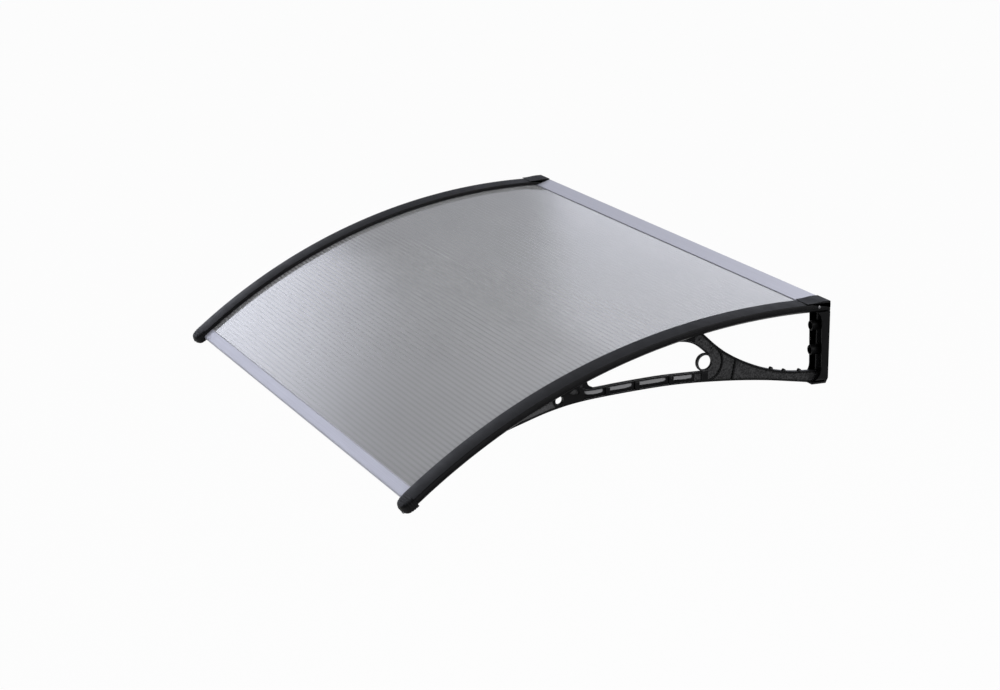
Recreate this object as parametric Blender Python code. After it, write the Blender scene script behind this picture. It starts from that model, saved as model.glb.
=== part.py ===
"""Wall-hung door canopy: an arched twin-wall sheet clamped between two moulded brackets.

The frame: X runs across the canopy, Y = 0 is the wall and the canopy reaches towards -Y, Z is up.
The origin is at mid-width on the wall, at the middle of the sheet's thickness. Sizes are in metres.

Two measures are used throughout. "Distance" is how far a point lies in front of the wall. "Depth"
is how far a point lies inside the arch's outer circle, on which the cover rails' top edges run.
"Inset" is measured from a bracket's outer face towards the middle of the canopy.
"""

import math

import bmesh
import bpy
from mathutils import Matrix, Vector

# Overall
CANOPY_WIDTH = 1.200
ARCH_RADIUS = 1.1455
ARCH_TOP_DISTANCE = 0.0441
RAIL_END_DISTANCE = 0.7585
CLEARANCE = 0.0003
ARCH_STEPS = 24
BORE_SIDES = 20
SCREW_SIDES = 10
NUB_SIDES = 8
NOSE_STEPS = 8

# Twin-wall sheet
SHEET_DEPTH = 0.0075
SHEET_THICKNESS = 0.0045
SHEET_SKIN = 0.0007
SHEET_WEB = 0.0006
FLUTE_PITCH = 0.0085

# Rails
RAIL_WIDTH = 0.043
RAIL_CROWN = 0.0010
COVER_PLATE = 0.0035
COVER_EDGE_RADIUS = 0.0018
COVER_OUTER_LIP = 0.0055
COVER_LIP_THICKNESS = 0.0040
SCREW_RIB_INSET = 0.0105
SCREW_RIB_WIDTH = 0.0060
GASKET_WIDTH = 0.0026
GASKET_THICKNESS = 0.0010
SEAT_PLATE = 0.0025
SEAT_LIP_STEP = 0.0005
SEAT_LIP_THICKNESS = 0.0040
SEAT_SIDE_DEPTH = 0.0105
SEAT_CHAMFER = 0.0070
SEAT_RIB_HEIGHT = 0.0030
SEAT_RIB_WIDTH = 0.0040

# Clamp screws and cap screws
CLAMP_SCREWS = 4
CLAMP_SCREW_FIRST = 0.080
CLAMP_SCREW_LAST = 0.690
SCREW_RADIUS = 0.0015
SCREW_HEAD_RADIUS = 0.0029
SCREW_HEAD_HEIGHT = 0.0011
SCREW_SHOULDER_HEIGHT_SHARE = 0.60
SCREW_SHOULDER_RADIUS_SHARE = 0.95
SCREW_CROWN_RADIUS_SHARE = 0.70
CAP_SCREW_RADIUS = 0.0012
CAP_SCREW_HEAD_RADIUS = 0.0026
CAP_SCREW_HEAD_HEIGHT = 0.0014

# Wall post of the bracket
POST_HEIGHT = 0.1415
POST_BACK_PLATE = 0.0040
POST_FLANGE_TOP_DEPTH = 0.0158
POST_FLANGE_FOOT_DEPTH = 0.0130
POST_FLANGE_THICKNESS = 0.0025
POST_FLARE_DEPTH = 0.0220
POST_FLARE_HEIGHT = 0.0080
POST_FOOT_DEPTH = 0.0275
POST_FOOT_THICKNESS = 0.0035
POST_FOOT_RISE = 0.0200
POST_CORNER_CUT = 0.0080
POST_RIB_THICKNESS = 0.0025
BOLT_BOSS_DROPS = (0.0405, 0.0835)
BOLT_BOSS_RADIUS = 0.0088
BOLT_BOSS_DEPTH = 0.0255
BOLT_HEAD_RADIUS = 0.0064
BOLT_HOLE_RADIUS = 0.0035
BOLT_SEAT = 0.0070

# Arm of the bracket
ARM_WIDTH = 0.0090
ARM_WEB = 0.0030
ARM_FLANGE = 0.0026
ARM_RIB = 0.0028
RING_DISTANCE = 0.2275
RING_DROP = 0.0835
RING_HOLE_RADIUS = 0.0127
RING_WALL = 0.0031
RING_WIDTH = 0.0066
RING_WEB_DEGREES = (6, 175)
SCROLL_RADIUS = 0.0313
SCROLL_DEGREES = (36, 170)
SMALL_RING_DISTANCE = 0.4955
SMALL_RING_DROP = 0.1192
SMALL_RING_HOLE_RADIUS = 0.0073
SMALL_RING_WALL = 0.0030
ARM_END_DISTANCE = 0.6400
ARM_LOWER_DROPS = (
    (0.002, 0.1412),
    (0.020, 0.1408),
    (0.051, 0.1360),
    (0.120, 0.1258),
    (0.200, 0.1186),
    (0.285, 0.1155),
    (0.372, 0.1186),
    (0.455, 0.1250),
    (0.510, 0.1350),
    (0.560, 0.1500),
    (0.600, 0.1640),
)
ARM_UPPER_DROPS = (
    (0.2215, 0.0986),
    (0.298, 0.0979),
    (0.343, 0.0993),
    (0.387, 0.1018),
    (0.425, 0.1046),
    (0.446, 0.1050),
    (0.456, 0.1016),
    (0.4645, 0.0935),
)
STRUT_DROPS = (
    (0.228, 0.0370),
    (0.208, 0.0550),
    (0.185, 0.0718),
    (0.150, 0.0908),
    (0.108, 0.1070),
    (0.060, 0.1168),
    (0.002, 0.1205),
)
STRUT_TOP_DISTANCE = 0.2365
STRUT_UNDER_TOP_DISTANCE = 0.3030
STRUT_UNDER_SHARES = (
    (0.682, 0.0425),
    (0.404, 0.0458),
    (0.179, 0.0545),
    (-0.073, 0.0700),
)
CROSS_RIB_FRONTS = (0.2944, 0.3578, 0.4117)
CROSS_RIB_THICKNESS = 0.0080
RING_FOOT_FRONT = 0.2341
RING_FOOT_THICKNESS = 0.0120
REAR_RIB_LOW = 0.1775
REAR_RIB_HIGH = 0.1705
WINDOW_END_DROPS = ((0.4446, 0.0920), (0.4437, 0.0965), (0.4405, 0.1005), (0.4340, 0.1036))
FRONT_BODY_START = 0.4508
FRONT_BODY_END = 0.4970
FRONT_WEB_END = 0.5850
POCKET_DROPS = (
    (0.4785, 0.1095),
    (0.4700, 0.1030),
    (0.4645, 0.1015),
    (0.4595, 0.1065),
    (0.4605, 0.1120),
    (0.4680, 0.1120),
)
DIMPLES = ((0.2401, 0.0426), (0.2166, 0.0602))
DIMPLE_RADIUS = 0.0024
DIMPLE_DEPTH = 0.0018
NUBS = ((0.045, 0.1172), (0.075, 0.1142), (0.100, 0.1080))
NUB_RADIUS = 0.0028

# Aluminium profiles
PROFILE_WALL = 0.0015
PROFILE_END_GAP = 0.0006
FRONT_PROFILE_LENGTH = 0.0225
FRONT_PROFILE_LOWER = 0.0120
FRONT_PROFILE_SETBACK = 0.0145
WALL_PROFILE_DISTANCE = 0.0285
WALL_PROFILE_RISE = 0.0135
WALL_PROFILE_LOWER = 0.0180
SEAL_WIDTH = 0.0016
SEAL_STAND = 0.0006

# Front end caps
CAP_STRAIGHT = 0.0050
CAP_NOSE = 0.0215
CAP_PROUD = 0.0010
CAP_UNDER = 0.0176
CAP_WALL = 0.0022
CAP_SIDES = 20
CAP_GROOVE = 0.0006
CAP_GROOVE_WIDTH = 0.0018
CAP_GROOVE_RUNS = (0.0060, 0.0105, 0.0150)
CAP_SQUARENESS = 0.45
CAP_NOSE_SHARES = (0.45, 0.70, 0.87, 0.96)
CAP_TIP_WIDTH_SHARE = 0.10
CAP_TIP_HEIGHT_SHARE = 0.55
TONGUE_INSET = 0.0120
TONGUE_WIDTH = 0.0170
TONGUE_THICKNESS = 0.0020
TONGUE_OVERLAP = 0.0030
SCREW_BLOCK_START = 0.0090
SCREW_BLOCK_END = 0.0170
SCREW_BLOCK_WIDTH = 0.0080
SCREW_BLOCK_TOP_DEPTH = 0.0055
CAP_SCREW_INSET = 0.0140
CAP_SCREW_DEPTH = 0.0098
CAP_SCREW_LENGTH = 0.0125

# Wall end caps
WALL_CAP_TOP = 0.0150
WALL_CAP_LENGTH = 0.0440
WALL_CAP_RISE = 0.0055
WALL_CAP_TIP = 0.0006
WALL_CAP_EDGE = 0.0010
WALL_CAP_BACK = 0.0014
WALL_CAP_CHEEK = 0.0037
WALL_CAP_CHEEK_LENGTH = 0.0320
WALL_CAP_SCREW_DISTANCE = 0.0220
WALL_CAP_SCREW_DEPTH = 0.0042
WALL_CAP_SCREW_BITE = 0.0050

# Worked out from the values above
HALF_WIDTH = CANOPY_WIDTH / 2
FRONT_PROFILE_START = RAIL_END_DISTANCE - FRONT_PROFILE_SETBACK
SHEET_MIDDLE_RADIUS = ARCH_RADIUS - SHEET_DEPTH - SHEET_THICKNESS / 2
ARCH_CENTRE_Z = -math.sqrt(SHEET_MIDDLE_RADIUS**2 - ARCH_TOP_DISTANCE**2)
SHEET_INSET = SCREW_RIB_INSET + SCREW_RIB_WIDTH / 2 + CLEARANCE
SEAT_TOP_DEPTH = SHEET_DEPTH + SHEET_THICKNESS + CLEARANCE
SEAT_BOTTOM_DEPTH = SEAT_TOP_DEPTH + SEAT_PLATE
RIB_BOTTOM_DEPTH = SEAT_BOTTOM_DEPTH + SEAT_RIB_HEIGHT
SCREW_RECESS = SCREW_HEAD_HEIGHT + CLEARANCE
WALL_HALF_LENGTH = HALF_WIDTH - RAIL_WIDTH - PROFILE_END_GAP
FRONT_HALF_LENGTH = WALL_HALF_LENGTH - CAP_PROUD

PLASTIC = ("black_plastic", (0.022, 0.022, 0.024, 1.0), 0.45, 0.0)
COVER_PLASTIC = ("cover_plastic", (0.030, 0.030, 0.032, 1.0), 0.38, 0.0)
ALUMINIUM = ("aluminium", (0.62, 0.62, 0.66, 1.0), 0.40, 1.0)
RUBBER = ("rubber", (0.05, 0.05, 0.055, 1.0), 0.80, 0.0)
STEEL = ("screw_steel", (0.45, 0.45, 0.46, 1.0), 0.30, 1.0)
POLYCARBONATE = ("polycarbonate", (0.50, 0.50, 0.53, 1.0), 0.30, 0.0)


def clear_scene():
    for item in list(bpy.data.objects):
        bpy.data.objects.remove(item)


def material_of(finish):
    name, colour, roughness, metallic = finish
    material = bpy.data.materials.get(name)
    if material is None:
        material = bpy.data.materials.new(name)
        material.use_nodes = True
        shader = material.node_tree.nodes["Principled BSDF"]
        shader.inputs["Base Color"].default_value = colour
        shader.inputs["Roughness"].default_value = roughness
        shader.inputs["Metallic"].default_value = metallic
    return material


def object_from(name, bm, finish, smooth=True):
    """The bmesh as an object of its own, its faces turned outwards."""
    bmesh.ops.recalc_face_normals(bm, faces=bm.faces)
    mesh = bpy.data.meshes.new(name)
    bm.to_mesh(mesh)
    bm.free()
    mesh.materials.append(material_of(finish))
    if smooth:
        mesh.shade_smooth()
        mesh.set_sharp_from_angle(angle=math.radians(35))
    item = bpy.data.objects.new(name, mesh)
    bpy.context.scene.collection.objects.link(item)
    return item


def combine(target, others, operation):
    """Joins the other objects to the target, or cuts them from it, one by one, and removes them."""
    for other in others:
        change = target.modifiers.new("combine", "BOOLEAN")
        change.operation = operation
        change.solver = "EXACT"
        change.object = other
        bpy.context.view_layer.update()
        evaluated = target.evaluated_get(bpy.context.evaluated_depsgraph_get())
        mesh = bpy.data.meshes.new_from_object(evaluated)
        target.modifiers.clear()
        target.data = mesh
        bpy.data.objects.remove(other)
    target.data.shade_smooth()
    target.data.set_sharp_from_angle(angle=math.radians(35))
    return target


# The arch: where a point of it lies


def arch_height(distance, depth=0.0):
    """Height of the circle at this depth inside the arch, this far in front of the wall."""
    return ARCH_CENTRE_Z + math.sqrt((ARCH_RADIUS - depth) ** 2 - (distance - ARCH_TOP_DISTANCE) ** 2)


def arch_angle(distance, depth=0.0):
    """Angle from the arch's top, towards the front, of the point of that circle."""
    return math.asin((distance - ARCH_TOP_DISTANCE) / (ARCH_RADIUS - depth))


def arch_point(x, depth, angle):
    radius = ARCH_RADIUS - depth
    return Vector((x, -ARCH_TOP_DISTANCE - radius * math.sin(angle), ARCH_CENTRE_Z + radius * math.cos(angle)))


def arch_axes(angle):
    """Directions of X, of the run towards the front, and outwards, at this angle of the arch."""
    forwards = Vector((0, -math.cos(angle), -math.sin(angle)))
    outwards = Vector((0, -math.sin(angle), math.cos(angle)))
    return Vector((1, 0, 0)), forwards, outwards


def rail_x(side, inset):
    return side * (HALF_WIDTH - inset)


WALL_END_ANGLE = arch_angle(0.0, COVER_OUTER_LIP + CLEARANCE)
SHEET_REAR_ANGLE = arch_angle(PROFILE_WALL + CLEARANCE, SHEET_DEPTH)
RAIL_END_ANGLE = arch_angle(RAIL_END_DISTANCE)
FRONT_PROFILE_ANGLE = arch_angle(FRONT_PROFILE_START, SHEET_DEPTH)
FRONT_NOSE_ANGLE = FRONT_PROFILE_ANGLE + FRONT_PROFILE_LENGTH / (ARCH_RADIUS - SHEET_DEPTH)
SHEET_FRONT_ANGLE = FRONT_NOSE_ANGLE - (PROFILE_WALL + CLEARANCE) / (ARCH_RADIUS - SHEET_DEPTH)


# Solids


def swept(sections):
    """A closed body through rings of equal length, with both ends filled."""
    bm = bmesh.new()
    rings = [[bm.verts.new(point) for point in section] for section in sections]
    for first, second in zip(rings, rings[1:]):
        for i in range(len(first)):
            j = (i + 1) % len(first)
            bm.faces.new((first[i], first[j], second[j], second[i]))
    bm.faces.new(rings[0])
    bm.faces.new(rings[-1])
    return bm


def arch_sweep(section, side, start, end, steps=ARCH_STEPS):
    """Carries a section of (inset, depth) points along the arch from one angle to another."""
    rings = []
    for step in range(steps + 1):
        angle = start + (end - start) * step / steps
        rings.append([arch_point(rail_x(side, inset), depth, angle) for inset, depth in section])
    return swept(rings)


def side_plate(outline, side, inset_from, inset_to):
    """Extrudes an outline of (distance, z) points across a bracket, between two insets."""
    rings = []
    for inset in (inset_from, inset_to):
        x = rail_x(side, inset)
        rings.append([Vector((x, -distance, z)) for distance, z in outline])
    return swept(rings)


def cylinder(start, end, radius, sides):
    """A cylinder between two points."""
    axis = end - start
    bm = bmesh.new()
    turn = Vector((0, 0, 1)).rotation_difference(axis).to_matrix().to_4x4()
    place = Matrix.Translation((start + end) / 2) @ turn
    bmesh.ops.create_cone(
        bm, cap_ends=True, segments=sides, radius1=radius, radius2=radius, depth=axis.length, matrix=place
    )
    return bm


def turned(profile, start, axis, sides):
    """Turns a profile of (height along the axis, radius) points round the axis. Its ends close at radius 0."""
    direction = axis.normalized()
    across = direction.orthogonal().normalized()
    other = direction.cross(across)
    bm = bmesh.new()
    rings = []
    for height, radius in profile:
        centre = start + direction * height
        if radius == 0.0:
            rings.append([bm.verts.new(centre)])
            continue
        ring = []
        for step in range(sides):
            turn = 2 * math.pi * step / sides
            ring.append(bm.verts.new(centre + (across * math.cos(turn) + other * math.sin(turn)) * radius))
        rings.append(ring)
    for first, second in zip(rings, rings[1:]):
        for i in range(sides):
            j = (i + 1) % sides
            lower = [first[i % len(first)], first[j % len(first)]]
            upper = [second[j % len(second)], second[i % len(second)]]
            bm.faces.new(list(dict.fromkeys(lower + upper)))
    return bm


def smooth_line(points, steps):
    """A curve through the points, each span split into equal steps."""
    ends = [points[0]] + list(points) + [points[-1]]
    line = []
    for before, first, second, after in zip(ends, ends[1:], ends[2:], ends[3:]):
        for step in range(steps):
            t = step / steps
            line.append(
                tuple(
                    0.5
                    * (
                        2 * b
                        + (c - a) * t
                        + (2 * a - 5 * b + 4 * c - d) * t**2
                        + (3 * b - a - 3 * c + d) * t**3
                    )
                    for a, b, c, d in zip(before, first, second, after)
                )
            )
    line.append(tuple(points[-1]))
    return line


def beside(line, offset):
    """The line moved sideways by the offset, to its left as it runs."""
    moved = []
    for i, (distance, z) in enumerate(line):
        before = line[max(i - 1, 0)]
        after = line[min(i + 1, len(line) - 1)]
        run = Vector((after[0] - before[0], after[1] - before[1])).normalized()
        moved.append((distance - run.y * offset, z + run.x * offset))
    return moved


def strip(line, offset):
    """The outline of a strip of even thickness along a line, on its left where the offset is positive."""
    return list(line) + list(reversed(beside(line, offset)))


def arc_line(centre, radius, start, end, steps):
    """An arc in (distance, z), its angle measured from straight up, positive towards the wall."""
    line = []
    for step in range(steps + 1):
        angle = start + (end - start) * step / steps
        line.append((centre[0] - radius * math.sin(angle), centre[1] + radius * math.cos(angle)))
    return line


# Sheet, profiles and seals


def polycarbonate_sheet():
    """Two skins joined by webs along X. The flutes between them are open at both sides of the sheet."""
    half_length = HALF_WIDTH - SHEET_INSET
    radius = ARCH_RADIUS - SHEET_DEPTH
    flutes = round(radius * (SHEET_FRONT_ANGLE - SHEET_REAR_ANGLE) / FLUTE_PITCH)
    pitch = (SHEET_FRONT_ANGLE - SHEET_REAR_ANGLE - SHEET_WEB / radius) / flutes
    depths = [
        SHEET_DEPTH,
        SHEET_DEPTH + SHEET_SKIN,
        SHEET_DEPTH + SHEET_THICKNESS - SHEET_SKIN,
        SHEET_DEPTH + SHEET_THICKNESS,
    ]
    angles = []
    for flute in range(flutes + 1):
        angles.append(SHEET_REAR_ANGLE + flute * pitch)
        angles.append(angles[-1] + SHEET_WEB / radius)
    bm = bmesh.new()
    ends = []
    for x in (-half_length, half_length):
        ends.append([[bm.verts.new(arch_point(x, depth, angle)) for depth in depths] for angle in angles])
    last = len(angles) - 1
    for rows in ends:
        for i in range(last):
            layers = (0, 1, 2) if i % 2 == 0 else (0, 2)
            for k in layers:
                bm.faces.new((rows[i][k], rows[i + 1][k], rows[i + 1][k + 1], rows[i][k + 1]))
    left, right = ends
    for i in range(last):
        for k in (0, 3) if i % 2 == 0 else (0, 1, 2, 3):
            bm.faces.new((left[i][k], left[i + 1][k], right[i + 1][k], right[i][k]))
    for i in range(last + 1):
        for k in (0, 1, 2) if i in (0, last) else (1,):
            bm.faces.new((left[i][k], left[i][k + 1], right[i][k + 1], right[i][k]))
    return object_from("polycarbonate_sheet", bm, POLYCARBONATE)


def along_width(outline, half_length):
    """Extrudes an outline of (distance, z) points along X."""
    rings = [[Vector((x, -distance, z)) for distance, z in outline] for x in (-half_length, half_length)]
    return swept(rings)


def front_point(run, outwards):
    """A (distance, z) point of the front profile, from its run along the sheet and its height above it."""
    angle = FRONT_PROFILE_ANGLE + run / (ARCH_RADIUS - SHEET_DEPTH)
    point = arch_point(0, SHEET_DEPTH - outwards, angle)
    return (-point.y, point.z)


def front_profile():
    """A channel round the sheet's front edge, with a round nose."""
    top = CLEARANCE + PROFILE_WALL
    bottom = -SHEET_THICKNESS - CLEARANCE - PROFILE_WALL
    nose_radius = (top - bottom) / 2
    nose_run = FRONT_PROFILE_LENGTH - nose_radius
    slot_end = FRONT_PROFILE_LENGTH - PROFILE_WALL
    edge = PROFILE_WALL / 3
    outline = [front_point(0, CLEARANCE), front_point(0, top - edge), front_point(edge, top)]
    for step in range(NOSE_STEPS + 1):
        turn = math.pi * step / NOSE_STEPS
        run = nose_run + nose_radius * math.sin(turn)
        outline.append(front_point(run, (top + bottom) / 2 + nose_radius * math.cos(turn)))
    lower_start = FRONT_PROFILE_LENGTH - FRONT_PROFILE_LOWER
    outline.append(front_point(lower_start, bottom))
    outline.append(front_point(lower_start, bottom + PROFILE_WALL))
    outline.append(front_point(slot_end, bottom + PROFILE_WALL))
    outline.append(front_point(slot_end, CLEARANCE))
    return object_from("front_profile", along_width(outline, FRONT_HALF_LENGTH), ALUMINIUM)


def front_seal():
    """The lip of the rubber strip that shows behind the front profile's upper edge."""
    start = -SEAL_WIDTH - CLEARANCE
    height = CLEARANCE + PROFILE_WALL - SEAL_STAND
    outline = [
        front_point(start, CLEARANCE),
        front_point(start + SEAL_STAND, height),
        front_point(-CLEARANCE, height),
        front_point(-CLEARANCE, CLEARANCE),
    ]
    return object_from("front_profile_seal", along_width(outline, FRONT_HALF_LENGTH), RUBBER)


def wall_profile():
    """A channel round the sheet's rear edge, its top sloping down from the wall to the sheet."""
    lip_z = arch_height(WALL_PROFILE_DISTANCE, SHEET_DEPTH) + CLEARANCE
    rise = WALL_PROFILE_RISE
    lower_z = arch_height(0, SHEET_DEPTH + SHEET_THICKNESS) - CLEARANCE
    outline = [
        (0, lower_z - PROFILE_WALL),
        (0, rise),
        (WALL_PROFILE_DISTANCE - PROFILE_WALL, lip_z + PROFILE_WALL),
        (WALL_PROFILE_DISTANCE, lip_z + PROFILE_WALL / 2),
        (WALL_PROFILE_DISTANCE, lip_z),
        (WALL_PROFILE_DISTANCE - 2 * PROFILE_WALL, lip_z),
        (PROFILE_WALL, rise - 2 * PROFILE_WALL),
        (PROFILE_WALL, lower_z),
        (WALL_PROFILE_LOWER, lower_z),
        (WALL_PROFILE_LOWER, lower_z - PROFILE_WALL),
    ]
    return object_from("wall_profile", along_width(outline, WALL_HALF_LENGTH), ALUMINIUM)


def wall_seal():
    """The lip of the rubber strip that shows in front of the wall profile."""
    start = WALL_PROFILE_DISTANCE + CLEARANCE
    end = start + SEAL_WIDTH
    height = CLEARANCE + PROFILE_WALL - SEAL_STAND
    outline = [
        (start, arch_height(start, SHEET_DEPTH - CLEARANCE)),
        (start, arch_height(start, SHEET_DEPTH - height)),
        (end - SEAL_STAND, arch_height(end - SEAL_STAND, SHEET_DEPTH - height)),
        (end, arch_height(end, SHEET_DEPTH - CLEARANCE)),
    ]
    return object_from("wall_profile_seal", along_width(outline, WALL_HALF_LENGTH), RUBBER)


# Cover rails, gaskets and screws


def cover_section():
    """Crowned plate with a lip down its outer side and a lip on the gasket along its inner side."""
    rounding = COVER_EDGE_RADIUS
    inner_lip_depth = SHEET_DEPTH - GASKET_THICKNESS - 2 * CLEARANCE
    inner_lip_inset = RAIL_WIDTH - GASKET_WIDTH - CLEARANCE
    middle = RAIL_WIDTH / 2
    return [
        (0, COVER_OUTER_LIP),
        (0, rounding),
        (rounding * 0.3, rounding * 0.3),
        (rounding, 0),
        (middle / 2, -0.75 * RAIL_CROWN),
        (middle, -RAIL_CROWN),
        (RAIL_WIDTH - middle / 2, -0.75 * RAIL_CROWN),
        (RAIL_WIDTH - rounding, 0),
        (RAIL_WIDTH - rounding * 0.3, rounding * 0.3),
        (RAIL_WIDTH, rounding),
        (RAIL_WIDTH, inner_lip_depth),
        (inner_lip_inset, inner_lip_depth),
        (inner_lip_inset, COVER_PLATE),
        (COVER_LIP_THICKNESS, COVER_PLATE),
        (COVER_LIP_THICKNESS, COVER_OUTER_LIP),
    ]


def box_section(inset_from, inset_to, depth_from, depth_to):
    return [(inset_from, depth_from), (inset_from, depth_to), (inset_to, depth_to), (inset_to, depth_from)]


def clamp_angles():
    angles = []
    for number in range(CLAMP_SCREWS):
        distance = CLAMP_SCREW_FIRST + (CLAMP_SCREW_LAST - CLAMP_SCREW_FIRST) * number / (CLAMP_SCREWS - 1)
        angles.append(arch_angle(distance, SEAT_TOP_DEPTH))
    return angles


CLAMP_SCREW_TOP_DEPTH = COVER_PLATE + CLEARANCE
RAIL_START_ANGLE = arch_angle(WALL_CAP_BACK + CLEARANCE)


def wall_cap_screw_line(side):
    """Where the wall cap's side screw enters the bracket's outer face, and the way out of it."""
    angle = arch_angle(WALL_CAP_SCREW_DISTANCE, WALL_CAP_SCREW_DEPTH)
    return arch_point(rail_x(side, 0), WALL_CAP_SCREW_DEPTH, angle), Vector((side, 0, 0))


def cover_rail(side, label):
    """The cover, with a rib that the clamp screws bite in. Its outer lip stops at the wall cap's cheek."""
    cover = object_from(
        "cover_rail_" + label,
        arch_sweep(cover_section(), side, RAIL_START_ANGLE, RAIL_END_ANGLE),
        COVER_PLASTIC,
    )
    rib = box_section(
        SCREW_RIB_INSET - SCREW_RIB_WIDTH / 2,
        SCREW_RIB_INSET + SCREW_RIB_WIDTH / 2,
        COVER_PLATE / 2,
        SEAT_TOP_DEPTH - CLEARANCE,
    )
    rib_start = arch_angle(WALL_CAP_BACK + 2 * CLEARANCE)
    rib_end = arch_angle(RAIL_END_DISTANCE - 2 * CLEARANCE)
    combine(cover, [object_from("solid", arch_sweep(rib, side, rib_start, rib_end), COVER_PLASTIC)], "UNION")
    cutters = []
    for angle in clamp_angles():
        x = rail_x(side, SCREW_RIB_INSET)
        start = arch_point(x, SEAT_TOP_DEPTH + 2 * CLEARANCE, angle)
        end = arch_point(x, CLAMP_SCREW_TOP_DEPTH, angle)
        cutters.append(cylinder(start, end, SCREW_RADIUS + CLEARANCE, SCREW_SIDES))
    cheek_room = box_section(
        -COVER_LIP_THICKNESS,
        WALL_CAP_CHEEK + CLEARANCE,
        -2 * RAIL_CROWN,
        2 * COVER_OUTER_LIP,
    )
    cheek_end = arch_angle(WALL_CAP_CHEEK_LENGTH + CLEARANCE)
    cutters.append(arch_sweep(cheek_room, side, WALL_END_ANGLE, cheek_end, 3))
    point, out = wall_cap_screw_line(side)
    end = point - out * (WALL_CAP_CHEEK + WALL_CAP_SCREW_BITE + 2 * COVER_LIP_THICKNESS / 3)
    cutters.append(cylinder(point, end, CAP_SCREW_RADIUS + CLEARANCE, SCREW_SIDES))
    combine(cover, [object_from("cutter", bm, COVER_PLASTIC) for bm in cutters], "DIFFERENCE")
    return cover


def cover_gasket(side, label):
    top = SHEET_DEPTH - CLEARANCE - GASKET_THICKNESS
    bottom = SHEET_DEPTH - CLEARANCE
    inner = RAIL_WIDTH - CLEARANCE
    section = box_section(inner, inner - GASKET_WIDTH, top, bottom)
    start = arch_angle(WALL_PROFILE_DISTANCE, SHEET_DEPTH)
    return object_from("cover_gasket_" + label, arch_sweep(section, side, start, FRONT_PROFILE_ANGLE), RUBBER)


def screw(name, start, axis, length, radius, head_radius, head):
    """A screw: its shank runs back from the start, and its head stands out along the axis."""
    profile = [
        (-length, 0.0),
        (-length + radius, radius),
        (0.0, radius),
        (0.0, head_radius),
        (head * SCREW_SHOULDER_HEIGHT_SHARE, head_radius * SCREW_SHOULDER_RADIUS_SHARE),
        (head, head_radius * SCREW_CROWN_RADIUS_SHARE),
        (head, 0.0),
    ]
    return object_from(name, turned(profile, start, axis, SCREW_SIDES), STEEL)


def front_cap_screw_line(side):
    """Where the front cap's screw stands on the round nose, and the way out of it."""
    offset = RAIL_WIDTH / 2 - CAP_SCREW_INSET
    lean = math.asin(offset / (RAIL_WIDTH / 2 + CAP_PROUD))
    run = CAP_STRAIGHT + CAP_NOSE * math.cos(lean)
    angle = RAIL_END_ANGLE + (CLEARANCE + run) / ARCH_RADIUS
    across, forwards, _ = arch_axes(angle)
    point = arch_point(rail_x(side, CAP_SCREW_INSET), CAP_SCREW_DEPTH, angle)
    return point, forwards * math.cos(lean) + across * side * math.sin(lean)


def clamp_screws(side, label):
    head_depth = SEAT_BOTTOM_DEPTH - SCREW_RECESS + CLEARANCE / 2
    for number, angle in enumerate(clamp_angles(), 1):
        _, _, outwards = arch_axes(angle)
        start = arch_point(rail_x(side, SCREW_RIB_INSET), head_depth, angle)
        length = head_depth - CLAMP_SCREW_TOP_DEPTH - CLEARANCE
        screw(
            f"clamp_screw_{label}_{number}",
            start,
            -outwards,
            length,
            SCREW_RADIUS,
            SCREW_HEAD_RADIUS,
            SCREW_HEAD_HEIGHT,
        )


# Bracket


def seat_section():
    """Plate under the sheet's edge, with a lip outside the sheet and a rib under its middle."""
    outer = SEAT_LIP_STEP
    lip = outer + SEAT_LIP_THICKNESS
    rib_from = (RAIL_WIDTH - SEAT_RIB_WIDTH) / 2
    rib_to = (RAIL_WIDTH + SEAT_RIB_WIDTH) / 2
    return [
        (outer, COVER_OUTER_LIP + CLEARANCE),
        (outer, SEAT_SIDE_DEPTH),
        (outer + SEAT_CHAMFER, SEAT_BOTTOM_DEPTH),
        (rib_from, SEAT_BOTTOM_DEPTH),
        (rib_from, RIB_BOTTOM_DEPTH),
        (rib_to, RIB_BOTTOM_DEPTH),
        (rib_to, SEAT_BOTTOM_DEPTH),
        (RAIL_WIDTH, SEAT_BOTTOM_DEPTH),
        (RAIL_WIDTH, SEAT_TOP_DEPTH),
        (lip, SEAT_TOP_DEPTH),
        (lip, COVER_OUTER_LIP + CLEARANCE),
    ]


def drop(value):
    """Height of a point this far below the arch's outer circle at the wall."""
    return arch_height(0) - value


def dropped(points):
    return [(distance, drop(value)) for distance, value in points]


def in_seat(distance, share=0.5):
    """A point within the seat's plate, at a share of its thickness from the top."""
    return (distance, arch_height(distance, SEAT_TOP_DEPTH + SEAT_PLATE * share))


def lower_line():
    """The arm's lower edge, from the foot of the post to where it runs out under the arch."""
    end = (ARM_END_DISTANCE, arch_height(ARM_END_DISTANCE, RIB_BOTTOM_DEPTH - SEAT_RIB_HEIGHT / 2))
    return smooth_line(dropped(ARM_LOWER_DROPS) + [end], 2)


def upper_line():
    """The upper edge of the arm's front half, from the ring past the front window and up to the seat."""
    return smooth_line(dropped(ARM_UPPER_DROPS), 2)


def strut_line():
    """The sweeping upper edge that runs from the arch down to the post, under the rear window."""
    return smooth_line([in_seat(STRUT_TOP_DISTANCE)] + dropped(STRUT_DROPS), 2)


def strut_under_line():
    """The strut's front edge, from the arch to the top of the ring. The shares run from the ring's
    middle to the edge's top."""
    distance = STRUT_UNDER_TOP_DISTANCE
    start = (distance, arch_height(distance, SEAT_BOTTOM_DEPTH + ARM_FLANGE - SEAT_PLATE / 2))
    reach = distance - RING_DISTANCE
    drops = [(RING_DISTANCE + reach * share, value) for share, value in STRUT_UNDER_SHARES]
    return smooth_line([start] + dropped(drops), 2)


def ring_centre():
    return (RING_DISTANCE, drop(RING_DROP))


def small_ring_centre():
    return (SMALL_RING_DISTANCE, drop(SMALL_RING_DROP))


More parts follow.
